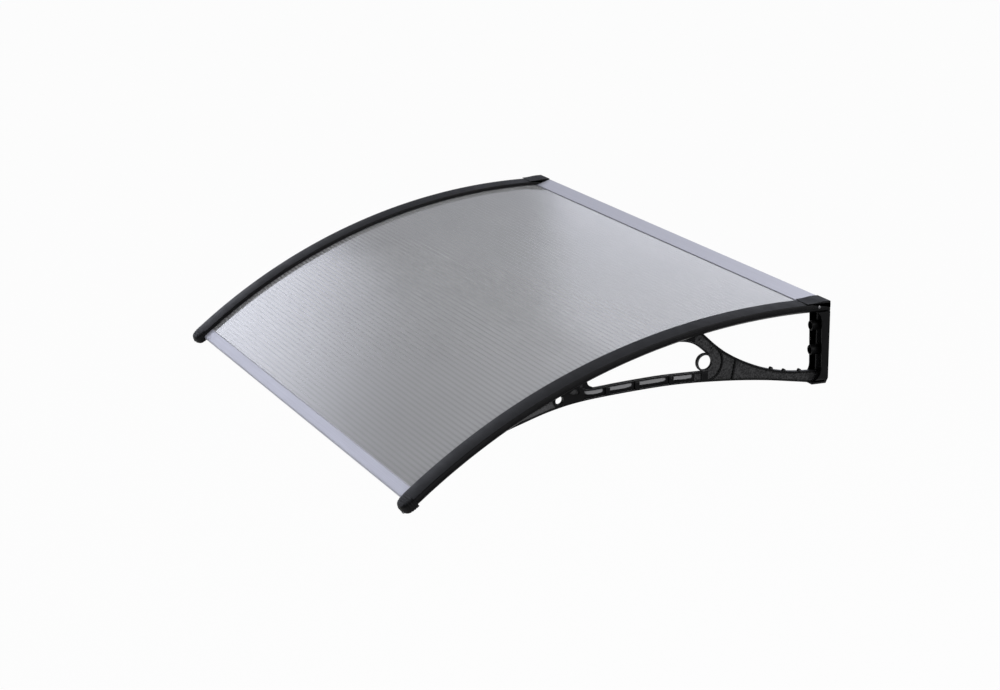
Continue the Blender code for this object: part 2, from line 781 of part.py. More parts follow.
def on_line(line, distance):
    """Height of a line at this distance."""
    for first, second in zip(line, line[1:]):
        low, high = sorted((first, second))
        if low[0] <= distance <= high[0]:
            share = (distance - low[0]) / (high[0] - low[0])
            return low[1] + (high[1] - low[1]) * share
    raise ValueError("the line doesn't reach this distance")


def rear_web(lower, strut, under):
    """The thin panel behind the ring: under the strut, round the ring and on to the post."""
    half = ARM_FLANGE / 2
    start, end = map(math.radians, RING_WEB_DEGREES)
    ring_side = arc_line(ring_centre(), RING_HOLE_RADIUS + RING_WALL / 2, start, end, 6)
    outline = [(d, z - half) for d, z in strut]
    outline += [(d, z + half) for d, z in lower if d < RING_DISTANCE]
    outline += [(RING_DISTANCE, on_line(lower, RING_DISTANCE) + half)]
    outline += list(reversed(ring_side))
    outline += [(d, z + half) for d, z in reversed(under)]
    return outline


def long_web(lower, upper):
    """The thin panel between the arm's flanges, from the ring to the front body."""
    half = ARM_FLANGE / 2
    start = RING_DISTANCE - ARM_RIB
    end = FRONT_BODY_START + ARM_RIB
    outline = [(d, z - half) for d, z in upper if d < end]
    outline += [(end, on_line(upper, end) - half), (end, on_line(lower, end) + half)]
    outline += [(d, z + half) for d, z in reversed(lower) if start < d < end]
    outline += [(start, on_line(lower, start) + half)]
    return outline


def front_web(lower):
    """The thin panel under the arch, from the front body to where the arm runs out."""
    top = []
    bottom = []
    steps = 8
    for step in range(steps + 1):
        distance = FRONT_BODY_START + (FRONT_WEB_END - FRONT_BODY_START) * step / steps
        top.append((distance, arch_height(distance, SEAT_BOTTOM_DEPTH + SEAT_RIB_HEIGHT / 2)))
        bottom.append((distance, on_line(lower, distance) + ARM_FLANGE / 2))
    return top + list(reversed(bottom))


def window_web():
    """The thin panel between the front window's round end and the flange that runs up to the seat."""
    start = WINDOW_END_DROPS[0][0]
    corner = ARM_UPPER_DROPS[-3]
    corner_height = drop(corner[1] + ARM_FLANGE / 2)
    outline = [in_seat(ARM_UPPER_DROPS[-1][0]), in_seat(start)] + dropped(WINDOW_END_DROPS)
    return outline + [(WINDOW_END_DROPS[-1][0], corner_height), (corner[0], corner_height)]


def front_body(lower, upper):
    """The solid block between the arm's front pocket and the small ring."""
    end = ARM_UPPER_DROPS[-1][0]
    outline = [(d, z - ARM_FLANGE / 2) for d, z in upper if FRONT_BODY_START < d < end - ARM_RIB]
    outline += [in_seat(end), in_seat(FRONT_BODY_END)]
    outline += [(FRONT_BODY_END, on_line(lower, FRONT_BODY_END) + ARM_FLANGE / 2)]
    outline += [(d, z + ARM_FLANGE / 2) for d, z in reversed(lower) if FRONT_BODY_START < d < FRONT_BODY_END]
    outline += [(FRONT_BODY_START, on_line(lower, FRONT_BODY_START) + ARM_FLANGE / 2)]
    outline += [(FRONT_BODY_START, on_line(upper, FRONT_BODY_START) - ARM_FLANGE / 2)]
    return outline


def rib_between(distance_low, distance_high, low_line, high_line, thickness):
    """A straight rib from one flange to another, its front face at the distances given."""
    low = (distance_low, on_line(low_line, distance_low) + ARM_FLANGE / 2)
    high = (distance_high, on_line(high_line, distance_high) - ARM_FLANGE)
    return strip([low, high], thickness)


def arm_solids(side):
    """Every solid that the arm is joined from."""
    centre = RAIL_WIDTH / 2
    flange = (centre - ARM_WIDTH / 2, centre + ARM_WIDTH / 2)
    web = (centre - ARM_WEB / 2, centre + ARM_WEB / 2)
    ring_insets = (centre - RING_WIDTH / 2, centre + RING_WIDTH / 2)
    lower = lower_line()
    upper = upper_line()
    strut = strut_line()
    under = strut_under_line()
    outlines = [
        (rear_web(lower, strut, under), web),
        (long_web(lower, upper), web),
        (front_web(lower), web),
        (window_web(), web),
        (front_body(lower, upper), flange),
        (strip(lower, ARM_FLANGE), flange),
        (strip(upper, -ARM_FLANGE), flange),
        (strip(strut, ARM_FLANGE), flange),
        (strip(under, -ARM_FLANGE), flange),
        (rib_between(REAR_RIB_LOW, REAR_RIB_HIGH, lower, strut, ARM_RIB), flange),
        (rib_between(RING_FOOT_FRONT, RING_FOOT_FRONT, lower, upper, RING_FOOT_THICKNESS), flange),
    ]
    start, end = map(math.radians, SCROLL_DEGREES)
    scroll = arc_line(ring_centre(), SCROLL_RADIUS, start, end, 10)
    outlines.append((strip(scroll, -ARM_RIB), flange))
    for distance in CROSS_RIB_FRONTS:
        outlines.append((rib_between(distance, distance, lower, upper, CROSS_RIB_THICKNESS), flange))
    solids = [side_plate(outline, side, *insets) for outline, insets in outlines]
    for ring, radius, insets in (
        (ring_centre(), RING_HOLE_RADIUS + RING_WALL, ring_insets),
        (small_ring_centre(), SMALL_RING_HOLE_RADIUS + SMALL_RING_WALL, flange),
    ):
        ends = [Vector((rail_x(side, inset), -ring[0], ring[1])) for inset in insets]
        solids.append(cylinder(ends[0], ends[1], radius, BORE_SIDES))
    for distance, value in NUBS:
        ends = [Vector((rail_x(side, inset), -distance, drop(value))) for inset in ring_insets]
        solids.append(cylinder(ends[0], ends[1], NUB_RADIUS, NUB_SIDES))
    return solids


def post_solids(side):
    """Every solid that the wall post is joined from."""
    top = in_seat(0)[1]
    foot = drop(POST_HEIGHT)
    foot_top = foot + POST_FOOT_THICKNESS
    back = [(0, foot), (0, top), (POST_BACK_PLATE, top), (POST_BACK_PLATE, foot)]
    flange = [
        (0, foot),
        (0, top),
        in_seat(POST_FLARE_DEPTH),
        (POST_FLANGE_TOP_DEPTH, top - POST_FLARE_HEIGHT),
        (POST_FLANGE_FOOT_DEPTH, foot + POST_FOOT_RISE),
        (POST_FOOT_DEPTH, foot_top),
        (POST_FOOT_DEPTH, foot),
    ]
    foot_plate = [(0, foot), (0, foot_top), (POST_FOOT_DEPTH, foot_top), (POST_FOOT_DEPTH, foot)]
    rib_half = POST_RIB_THICKNESS / 2
    rib = [(0, foot), (0, top), (POST_FLANGE_FOOT_DEPTH, top), (POST_FLANGE_FOOT_DEPTH, foot)]
    solids = [
        side_plate(back, side, 0, RAIL_WIDTH),
        side_plate(flange, side, 0, POST_FLANGE_THICKNESS),
        side_plate(flange, side, RAIL_WIDTH - POST_FLANGE_THICKNESS, RAIL_WIDTH),
        side_plate(foot_plate, side, 0, RAIL_WIDTH),
        side_plate(rib, side, RAIL_WIDTH / 2 - rib_half, RAIL_WIDTH / 2 + rib_half),
    ]
    x = rail_x(side, RAIL_WIDTH / 2)
    for boss_drop in BOLT_BOSS_DROPS:
        z = drop(boss_drop)
        start = Vector((x, -POST_BACK_PLATE / 2, z))
        solids.append(cylinder(start, Vector((x, -BOLT_BOSS_DEPTH, z)), BOLT_BOSS_RADIUS, BORE_SIDES))
    return solids


def tongue_solids(side):
    """The tongue that runs into the front cap, and the block at its end that the cap's screw bites in."""
    tongue = box_section(
        TONGUE_INSET,
        TONGUE_INSET + TONGUE_WIDTH,
        SEAT_TOP_DEPTH,
        SEAT_TOP_DEPTH + TONGUE_THICKNESS,
    )
    screw_block = box_section(
        CAP_SCREW_INSET - SCREW_BLOCK_WIDTH / 2,
        CAP_SCREW_INSET + SCREW_BLOCK_WIDTH / 2,
        SCREW_BLOCK_TOP_DEPTH,
        SEAT_TOP_DEPTH + TONGUE_THICKNESS / 2,
    )
    overlap = RAIL_END_ANGLE - TONGUE_OVERLAP / ARCH_RADIUS
    start = RAIL_END_ANGLE + SCREW_BLOCK_START / ARCH_RADIUS
    end = RAIL_END_ANGLE + SCREW_BLOCK_END / ARCH_RADIUS
    block_end = end - CLEARANCE / ARCH_RADIUS
    return [arch_sweep(tongue, side, overlap, end, 2), arch_sweep(screw_block, side, start, block_end, 1)]


def bracket_cutters(side):
    """Holes for the bolts and screws, the rings' bores, the pockets, and the cut corners of the post's foot."""
    centre = RAIL_WIDTH / 2
    x = rail_x(side, centre)
    cutters = []
    for boss_drop in BOLT_BOSS_DROPS:
        z = drop(boss_drop)
        start = Vector((x, CLEARANCE, z))
        seat = Vector((x, -BOLT_SEAT, z))
        end = Vector((x, -BOLT_BOSS_DEPTH - CLEARANCE, z))
        cutters.append(cylinder(start, seat - Vector((0, CLEARANCE, 0)), BOLT_HOLE_RADIUS, SCREW_SIDES))
        cutters.append(cylinder(seat, end, BOLT_HEAD_RADIUS, BORE_SIDES))
    screw_x = rail_x(side, SCREW_RIB_INSET)
    recess_depth = SEAT_BOTTOM_DEPTH - SCREW_RECESS
    for angle in clamp_angles():
        below = arch_point(screw_x, SEAT_BOTTOM_DEPTH + CLEARANCE, angle)
        recess = arch_point(screw_x, recess_depth, angle)
        above = arch_point(screw_x, SEAT_TOP_DEPTH - CLEARANCE, angle)
        cutters.append(cylinder(below, above, SCREW_RADIUS + CLEARANCE, SCREW_SIDES))
        cutters.append(cylinder(below, recess, SCREW_HEAD_RADIUS + CLEARANCE, SCREW_SIDES))
    for ring, radius in ((ring_centre(), RING_HOLE_RADIUS), (small_ring_centre(), SMALL_RING_HOLE_RADIUS)):
        ends = [Vector((rail_x(side, inset), -ring[0], ring[1])) for inset in (0, RAIL_WIDTH)]
        cutters.append(cylinder(ends[0], ends[1], radius, BORE_SIDES))
    web_outer = centre - ARM_WEB / 2
    web_inner = centre + ARM_WEB / 2
    cutters.append(side_plate(dropped(POCKET_DROPS), side, 0, web_outer))
    cutters.append(side_plate(dropped(POCKET_DROPS), side, web_inner, RAIL_WIDTH))
    for distance, value in DIMPLES:
        z = drop(value)
        start = Vector((rail_x(side, web_outer - CLEARANCE), -distance, z))
        end = Vector((rail_x(side, web_outer + DIMPLE_DEPTH), -distance, z))
        cutters.append(cylinder(start, end, DIMPLE_RADIUS, NUB_SIDES))
    face, out = front_cap_screw_line(side)
    cutters.append(
        cylinder(face - out * (CAP_SCREW_LENGTH + CLEARANCE), face, CAP_SCREW_RADIUS + CLEARANCE, SCREW_SIDES)
    )
    foot = drop(POST_HEIGHT)
    for inset, inwards in ((0, 1), (RAIL_WIDTH, -1)):
        corner = [
            (inset - inwards * CLEARANCE, foot - CLEARANCE),
            (inset + inwards * POST_CORNER_CUT, foot - CLEARANCE),
            (inset - inwards * CLEARANCE, foot + POST_CORNER_CUT * 1.5),
        ]
        rings = []
        for y in (CLEARANCE, -POST_FOOT_DEPTH - CLEARANCE):
            rings.append([Vector((rail_x(side, across), y, z)) for across, z in corner])
        cutters.append(swept(rings))
    return cutters


def bracket(side, label):
    base = object_from(
        "bracket_" + label, arch_sweep(seat_section(), side, WALL_END_ANGLE, RAIL_END_ANGLE), PLASTIC
    )
    solids = arm_solids(side) + post_solids(side) + tongue_solids(side)
    combine(base, [object_from("solid", bm, PLASTIC) for bm in solids], "UNION")
    combine(base, [object_from("cutter", bm, PLASTIC) for bm in bracket_cutters(side)], "DIFFERENCE")
    return base


# End caps


def cap_ring(side, run, inside):
    """A ring of the front cap this far along it, moved inwards by the wall's thickness or a groove's depth."""
    centre_inset = RAIL_WIDTH / 2
    top_depth = -RAIL_CROWN - CAP_PROUD
    nose = CAP_NOSE - inside
    beyond = max(run - CAP_STRAIGHT, 0) / nose
    width = (RAIL_WIDTH / 2 + CAP_PROUD - inside) * math.sqrt(max(1 - beyond**2, CAP_TIP_WIDTH_SHARE**2))
    height = ((CAP_UNDER - top_depth) / 2 - inside) * math.sqrt(max(1 - beyond**6, CAP_TIP_HEIGHT_SHARE**2))
    middle_depth = (CAP_UNDER + top_depth) / 2
    angle = RAIL_END_ANGLE + (CLEARANCE + run) / ARCH_RADIUS
    ring = []
    for step in range(CAP_SIDES):
        turn = 2 * math.pi * step / CAP_SIDES
        across = math.copysign(abs(math.cos(turn)) ** CAP_SQUARENESS, math.cos(turn))
        outwards = math.copysign(abs(math.sin(turn)) ** CAP_SQUARENESS, math.sin(turn))
        inset = centre_inset + width * across
        ring.append(arch_point(rail_x(side, inset), middle_depth - height * outwards, angle))
    return ring


def front_cap(side, label):
    """A cup with a round nose that closes the rail's front end, slit for the sheet, with grip grooves."""
    nose_end = CAP_STRAIGHT + CAP_NOSE
    nose_runs = [CAP_STRAIGHT + CAP_NOSE * share for share in CAP_NOSE_SHARES]
    rings = []
    for run in [nose_end - CAP_WALL] + list(reversed(nose_runs))[1:] + [CAP_STRAIGHT, 0]:
        rings.append(cap_ring(side, run, CAP_WALL))
    outer = [(0, 0), (CAP_STRAIGHT, 0), (nose_end, 0)] + [(run, 0) for run in nose_runs]
    for run in CAP_GROOVE_RUNS:
        half = CAP_GROOVE_WIDTH / 2
        outer += [(run - half, 0), (run - half / 2, CAP_GROOVE), (run + half / 2, CAP_GROOVE), (run + half, 0)]
    for run, inside in sorted(outer):
        rings.append(cap_ring(side, run, inside))
    cap = object_from("front_cap_" + label, swept(rings), COVER_PLASTIC)
    slit = box_section(
        RAIL_WIDTH / 2,
        RAIL_WIDTH + 2 * CAP_PROUD,
        SHEET_DEPTH - CLEARANCE,
        SHEET_DEPTH + SHEET_THICKNESS + CLEARANCE,
    )
    slit_end = SHEET_FRONT_ANGLE + CLEARANCE / ARCH_RADIUS
    face, out = front_cap_screw_line(side)
    cutters = [
        arch_sweep(slit, side, RAIL_END_ANGLE - CLEARANCE, slit_end, 2),
        cylinder(face - out * 2 * CAP_WALL, face + out * CAP_WALL, CAP_SCREW_RADIUS + CLEARANCE, SCREW_SIDES),
    ]
    combine(cap, [object_from("cutter", bm, STEEL) for bm in cutters], "DIFFERENCE")
    screw(
        "front_cap_screw_" + label,
        face + out * 2 * CLEARANCE,
        out,
        CAP_SCREW_LENGTH,
        CAP_SCREW_RADIUS,
        CAP_SCREW_HEAD_RADIUS,
        CAP_SCREW_HEAD_HEIGHT,
    )
    return cap


def wall_cap(side, label):
    """A ramped block over the wall end of the cover rail, with a cheek down its outer side."""
    cover_top = -RAIL_CROWN - CLEARANCE
    back_bottom = arch_height(0, COVER_OUTER_LIP)
    top = drop(-WALL_CAP_RISE)
    tip = arch_height(WALL_CAP_LENGTH, cover_top - WALL_CAP_TIP)
    ramp_end = arch_height(WALL_CAP_CHEEK_LENGTH, cover_top - 2 * WALL_CAP_TIP)
    under_distances = (WALL_CAP_LENGTH, 2 * WALL_CAP_LENGTH / 3, WALL_CAP_LENGTH / 3, WALL_CAP_BACK)
    block = [
        (0, back_bottom),
        (0, top - WALL_CAP_EDGE),
        (WALL_CAP_EDGE, top),
        (WALL_CAP_TOP - WALL_CAP_EDGE, top),
        (WALL_CAP_TOP, top - WALL_CAP_EDGE / 2),
        (WALL_CAP_CHEEK_LENGTH, ramp_end),
        (WALL_CAP_LENGTH, tip),
    ]
    block += [(distance, arch_height(distance, cover_top)) for distance in under_distances]
    block += [(WALL_CAP_BACK, back_bottom)]
    cheek = [
        (0, back_bottom),
        (0, arch_height(0, cover_top - WALL_CAP_TIP / 2)),
        (WALL_CAP_CHEEK_LENGTH, arch_height(WALL_CAP_CHEEK_LENGTH, cover_top - WALL_CAP_TIP / 2)),
        (WALL_CAP_CHEEK_LENGTH, arch_height(WALL_CAP_CHEEK_LENGTH, COVER_OUTER_LIP)),
        (WALL_CAP_CHEEK_LENGTH / 2, arch_height(WALL_CAP_CHEEK_LENGTH / 2, COVER_OUTER_LIP)),
    ]
    base = object_from("wall_cap_" + label, side_plate(block, side, 0, RAIL_WIDTH), COVER_PLASTIC)
    solid = object_from("solid", side_plate(cheek, side, CLEARANCE / 2, WALL_CAP_CHEEK), COVER_PLASTIC)
    combine(base, [solid], "UNION")
    point, out = wall_cap_screw_line(side)
    bore = cylinder(
        point - out * 2 * WALL_CAP_CHEEK, point + out * CLEARANCE, CAP_SCREW_RADIUS + CLEARANCE, SCREW_SIDES
    )
    combine(base, [object_from("cutter", bore, STEEL)], "DIFFERENCE")
    screw(
        "wall_cap_screw_" + label,
        point + out * CLEARANCE,
        out,
        WALL_CAP_CHEEK + WALL_CAP_SCREW_BITE + COVER_LIP_THICKNESS / 2,
        CAP_SCREW_RADIUS,
        CAP_SCREW_HEAD_RADIUS,
        CAP_SCREW_HEAD_HEIGHT,
    )
    return base


def main():
    clear_scene()
    polycarbonate_sheet()
    front_profile()
    front_seal()
    wall_profile()
    wall_seal()
    for side, label in ((-1, "left"), (1, "right")):
        bracket(side, label)
        cover_rail(side, label)
        cover_gasket(side, label)
        clamp_screws(side, label)
        front_cap(side, label)
        wall_cap(side, label)


main()
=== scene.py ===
"""Looks of a wall-hung polycarbonate door canopy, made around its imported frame.

The frame: X runs across the canopy, Y = 0 is the wall, the canopy reaches towards -Y, and Z is up.
"Distance" is how far a point lies in front of the wall, "depth" how far it lies inside the arch's
outer circle, and "inset" how far it lies inside a bracket's outer face. All sizes are in metres.
"""

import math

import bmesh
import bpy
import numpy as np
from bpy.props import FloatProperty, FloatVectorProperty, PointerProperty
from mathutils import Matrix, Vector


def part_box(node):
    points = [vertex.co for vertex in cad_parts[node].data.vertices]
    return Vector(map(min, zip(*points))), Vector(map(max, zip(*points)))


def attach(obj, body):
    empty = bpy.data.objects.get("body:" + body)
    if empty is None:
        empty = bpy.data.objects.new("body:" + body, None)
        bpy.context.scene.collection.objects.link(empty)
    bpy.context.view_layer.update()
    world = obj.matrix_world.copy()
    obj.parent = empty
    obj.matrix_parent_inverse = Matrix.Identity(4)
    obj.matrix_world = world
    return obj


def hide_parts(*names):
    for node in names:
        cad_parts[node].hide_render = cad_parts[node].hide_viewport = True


bl_info = {
    "name": "Door canopy looks",
    "version": (1, 0, 0),
    "blender": (4, 5, 0),
    "location": "3D Viewport > Sidebar > Canopy",
    "description": "Builds the visible pieces, finishes and studio of an arched polycarbonate door canopy",
    "category": "Object",
}

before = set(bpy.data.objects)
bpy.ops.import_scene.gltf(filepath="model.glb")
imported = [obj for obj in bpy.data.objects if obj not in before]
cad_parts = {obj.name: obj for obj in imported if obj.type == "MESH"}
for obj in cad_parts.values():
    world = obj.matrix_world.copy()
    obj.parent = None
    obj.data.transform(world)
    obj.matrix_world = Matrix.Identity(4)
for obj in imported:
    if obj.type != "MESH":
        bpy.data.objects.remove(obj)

BODY = "root"
SIDES = ((-1, "left"), (1, "right"))
RAIL_LOW, RAIL_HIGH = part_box("cover_rail_right")
SHEET_LOW, SHEET_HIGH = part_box("polycarbonate_sheet")


def length(name, description, default):
    """A property that holds a length in metres."""
    return FloatProperty(name=name, description=description, default=default, unit="LENGTH", precision=5)


def colour(name, description, default):
    """A property that holds a colour as linear red, green and blue."""
    return FloatVectorProperty(
        name=name, description=description, default=default, size=3, subtype="COLOR", min=0.0, max=1.0
    )


class CanopySizes(bpy.types.PropertyGroup):
    """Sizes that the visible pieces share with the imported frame."""

    half_width: length("Half width", "From the middle to a rail's outer face", RAIL_HIGH.x)
    arch_radius: length("Arch radius", "Radius of the rails' outer edges", 1.1455)
    crown_distance: length("Crown distance", "How far the arch's highest point lies from the wall", 0.0441)
    rail_end: length("Rail end", "How far the rails reach from the wall", 0.7585)
    rail_width: length("Rail width", "Width of a rail and of its wall post", RAIL_HIGH.x - RAIL_LOW.x)
    clearance: length("Clearance", "Gap between pieces that touch", 0.0003)
    sheet_depth: length("Sheet depth", "From the arch's circle down to the sheet", 0.0075)
    sheet_thickness: length("Sheet thickness", "Over both skins of the twin-wall sheet", 0.0045)
    flute_pitch: length("Flute pitch", "From one web of the sheet to the next", 0.0085)
    seat_plate: length("Seat plate", "Thickness of the seat under the sheet's edge", 0.0025)
    post_height: length("Post height", "From the arch's circle at the wall to the post's foot", 0.1415)
    arm_width: length("Arm width", "Width of the arm's flanges", 0.0090)
    arm_web: length("Arm web", "Thickness of the panels between the flanges", 0.0030)
    arm_flange: length("Arm flange", "Thickness of the flanges", 0.0026)
    rounding: length("Rounding", "Radius of the moulded pieces' edges", 0.0006)


class CanopyColours(bpy.types.PropertyGroup):
    """Colours of the finishes."""

    plastic: colour("Bracket plastic", "Black plastic of the two brackets", (0.0035, 0.0035, 0.0038))
    cover: colour("Cover plastic", "Black plastic of the rails and caps", (0.0045, 0.0045, 0.0050))
    aluminium: colour("Aluminium", "Anodised profiles", (0.510, 0.513, 0.573))
    sheet: colour("Sheet", "Tint of the twin-wall sheet", (0.692, 0.694, 0.698))
    rubber: colour("Gasket rubber", "Black gaskets under the cover rails", (0.030, 0.030, 0.034))
    seal: colour("Wall seal rubber", "Grey lip of the wall profile on the sheet", (0.22, 0.22, 0.26))
    pale_seal: colour("Front seal rubber", "Pale lip of the front profile on the sheet", (0.52, 0.52, 0.56))
    steel: colour("Steel", "Zinc-plated screws", (0.17, 0.17, 0.175))


class StudioSettings(bpy.types.PropertyGroup):
    """The camera, the floor and the lights."""

    floor_drop: length("Floor drop", "How far the floor lies below the wall's top line", 1.30)
    lens: FloatProperty(name="Lens", description="Focal length", default=90.253, unit="CAMERA")
    key_power: FloatProperty(name="Key light", description="Power of the large overhead light", default=60.0)
    near_power: FloatProperty(
        name="Near light", description="Power of the light past the near side", default=150.0
    )


# Points along the arm, as (distance, drop below the arch's circle at the wall)

ARM_LOWER_DROPS = (
    (0.002, 0.1412),
    (0.020, 0.1408),
    (0.051, 0.1360),
    (0.120, 0.1258),
    (0.200, 0.1186),
    (0.285, 0.1155),
    (0.372, 0.1186),
    (0.455, 0.1250),
    (0.510, 0.1350),
    (0.560, 0.1500),
    (0.600, 0.1640),
)
ARM_UPPER_DROPS = (
    (0.2215, 0.0986),
    (0.298, 0.0979),
    (0.343, 0.0993),
    (0.387, 0.1018),
    (0.425, 0.1046),
    (0.446, 0.1050),
    (0.456, 0.1016),
    (0.4645, 0.0935),
)
STRUT_DROPS = (
    (0.228, 0.0370),
    (0.208, 0.0550),
    (0.185, 0.0718),
    (0.150, 0.0908),
    (0.108, 0.1070),
    (0.060, 0.1168),
    (0.002, 0.1205),
)
STRUT_UNDER_DROPS = (
    (0.279, 0.0425),
    (0.258, 0.0458),
    (0.241, 0.0545),
    (0.222, 0.0700),
)
WINDOW_END_DROPS = ((0.4446, 0.0920), (0.4437, 0.0965), (0.4405, 0.1005), (0.4340, 0.1036))
POCKET_DROPS = (
    (0.4785, 0.1095),
    (0.4700, 0.1030),
    (0.4645, 0.1015),
    (0.4595, 0.1065),
    (0.4605, 0.1120),
    (0.4680, 0.1120),
)
NUBS = ((0.045, 0.1172), (0.075, 0.1142), (0.100, 0.1080))
DIMPLES = ((0.2401, 0.0426), (0.2166, 0.0602))
CROSS_RIB_FRONTS = (0.2944, 0.3578, 0.4117)
RING = (0.2275, 0.0835)
RING_HOLE = 0.0127
RING_WALL = 0.0031
SMALL_RING = (0.4955, 0.1192)
SMALL_RING_HOLE = 0.0073
SMALL_RING_WALL = 0.0030
BOLT_DROPS = (0.0405, 0.0835)
RING_FOOT_END = 0.2461
PAD_LAST = 0.4530
PAD_GAP = 0.0020
PAD_END_GAP = 0.0022

# A pad's section, as (drop below the arm's upper line, how far it stands out of the panel)

PAD_SECTION = (
    (0.0034, -0.0010),
    (0.0034, 0.0002),
    (0.0050, 0.0009),
    (0.0070, 0.0018),
    (0.0088, 0.0026),
    (0.0098, 0.0027),
    (0.0108, 0.0020),
    (0.0116, 0.0004),
    (0.0116, -0.0010),
)

# Sizes that more than one piece uses; a screw is its shank's radius, head's radius and head's height

CLAMP_DISTANCES = (0.0800, 0.2833, 0.4867, 0.6900)
SCREW_RIB_INSET = 0.0105
SEAT_RIB_HEIGHT = 0.0030
COVER_OUTER_LIP = 0.0055
COVER_PLATE = 0.0035
WALL_PROFILE_DISTANCE = 0.0285
FRONT_PROFILE_START = 0.7440
FRONT_PROFILE_LENGTH = 0.0225
PROFILE_WALL = 0.0015
CLAMP_SCREW = (0.0015, 0.0029, 0.0011)
CAP_SCREW = (0.0012, 0.0026, 0.0014)
CAP_SCREW_INSET = 0.0140
CAP_SCREW_DEPTH = 0.0098
CAP_SCREW_SHANK = 0.0125
WALL_SCREW_DISTANCE = 0.0220
WALL_SCREW_DEPTH = 0.0042
WALL_SCREW_SHANK = 0.0107
WALL_CAP_BACK = 0.0014
WALL_CAP_LENGTH = 0.0440
WALL_CAP_TOP = 0.0150
WALL_CAP_RISE = 0.0055
WALL_CAP_TIP = 0.0006
CHEEK = 0.0037
CHEEK_LENGTH = 0.0320
CAP_STRAIGHT = 0.0050
CAP_NOSE = 0.0215
CAP_UNDER = 0.0176
CAP_PROUD = 0.0010
RAIL_CROWN = 0.0010
ARCH_STEPS = 120
ROUND_SIDES = 48
BORE_SIDES = 20
RIM_STEPS = 3
SMOOTH_ANGLE = 38

# The coarse grain in the sunk faces of the brackets' panels, the painted highlight on the pads' upward faces
# and the painted light on the front panel

PANEL_HALF_WIDTH = 0.0043
PANEL_GRAIN = ((0.012, 0.012, 0.0125), (0.040, 0.040, 0.041))
PANEL_ROUGHNESS = 0.12
# Painted highlight: the light grey of the pads' upward faces; the front panel is mixed part way to it as
# painted light
PAD_PAINTED_HIGHLIGHT = (0.16, 0.16, 0.165)
# Painted light: how far the front panel is mixed towards that grey, and over what distance past the last bay
FRONT_PANEL_PAINTED_LIGHT = 0.4
FRONT_PANEL_LIGHT_REACH = 0.10


# The arch and plain curves


class Arch:
    """The circle that the rails follow, seen from the side."""

    def __init__(self, sizes):
        self.sizes = sizes
        self.radius = sizes.arch_radius
        self.crown = sizes.crown_distance
        middle = self.radius - sizes.sheet_depth - sizes.sheet_thickness / 2
        self.centre_z = -math.sqrt(middle**2 - self.crown**2)
        self.seat_top = sizes.sheet_depth + sizes.sheet_thickness + sizes.clearance
        self.seat_bottom = self.seat_top + sizes.seat_plate
        self.end = self.angle(sizes.rail_end)

    def points(self, x, depth, angle):
        """Points of the circle, moved inwards: y = -crown - r sin(angle), z = centre + r cos(angle)."""
        radius = self.radius - np.asarray(depth)
        y = -self.crown - radius * np.sin(angle)
        z = self.centre_z + radius * np.cos(angle)
        return np.stack(np.broadcast_arrays(x, y, z), axis=-1)

    def height(self, distance, depth=0.0):
        """Height of the circle at a distance: centre + sqrt(r squared - offset squared)."""
        offset = np.asarray(distance) - self.crown
        return self.centre_z + np.sqrt((self.radius - depth) ** 2 - offset**2)

    def angle(self, distance, depth=0.0):
        """Angle from the crown of the circle's point at a distance."""
        return np.arcsin((np.asarray(distance) - self.crown) / (self.radius - depth))

    def drop(self, value):
        """Height of a point this far below the circle's point at the wall."""
        return self.height(0.0) - value

    def dropped(self, points):
        """(distance, drop) points as (distance, height)."""
        return np.array([(distance, self.drop(value)) for distance, value in points])

    def in_seat(self, distance):
        """The (distance, height) point in the middle of the seat's plate."""
        depth = (self.seat_top + self.seat_bottom) / 2
        return np.array((distance, self.height(distance, depth)))

    def rail_x(self, side, inset):
        """X of a point inside a bracket's outer face: side * (half width - inset)."""
        return side * (self.sizes.half_width - np.asarray(inset))


def smooth_line(points, steps):
    """A Catmull-Rom curve through the points: each span is a cubic of its four nearest points."""
    points = np.asarray(points, float)
    ends = np.vstack((points[:1], points, points[-1:]))
    a, b, c, d = (ends[k : len(ends) - 3 + k, None] for k in range(4))
    t = np.arange(steps)[None, :, None] / steps
    curve = 0.5 * (2 * b + (c - a) * t + (2 * a - 5 * b + 4 * c - d) * t**2 + (3 * b - a - 3 * c + d) * t**3)
    return np.vstack((curve.reshape(-1, points.shape[1]), points[-1:]))


def beside(line, offset):
    """The line moved to its left: each point goes along the normal of its neighbours' chord."""
    line = np.asarray(line, float)
    run = np.gradient(line, axis=0)
    run /= np.linalg.norm(run, axis=1, keepdims=True)
    return line + np.stack((-run[:, 1], run[:, 0]), axis=1) * offset


def strip(line, offset):
    """Outline of a strip of even thickness on a line's left."""
    return np.vstack((line, beside(line, offset)[::-1]))


def arc_line(centre, radius, start, end, steps):
    """An arc whose angle, in degrees, is measured from straight up and grows towards the wall."""
    angle = np.radians(np.linspace(start, end, steps + 1))
    return np.stack((centre[0] - radius * np.sin(angle), centre[1] + radius * np.cos(angle)), axis=1)


def on_line(line, distance):
    """Height of a line at a distance, read between its points."""
    order = np.argsort(line[:, 0])
    return np.interp(distance, line[order, 0], line[order, 1])


def filleted(corners, radius, steps=4):
    """A closed outline with each corner turned into a quadratic curve that starts a radius before it."""
    corners = np.asarray(corners, float)
    before = np.roll(corners, 1, axis=0) - corners
    after = np.roll(corners, -1, axis=0) - corners
    spans = np.linalg.norm(before, axis=1), np.linalg.norm(after, axis=1)
    reach = np.minimum(radius, 0.45 * np.minimum(*spans))
    start = (corners + before * (reach / spans[0])[:, None])[:, None]
    end = (corners + after * (reach / spans[1])[:, None])[:, None]
    t = np.linspace(0, 1, steps + 1)[None, :, None]
    return ((1 - t) ** 2 * start + 2 * t * (1 - t) * corners[:, None] + t**2 * end).reshape(-1, 2)


# Meshes


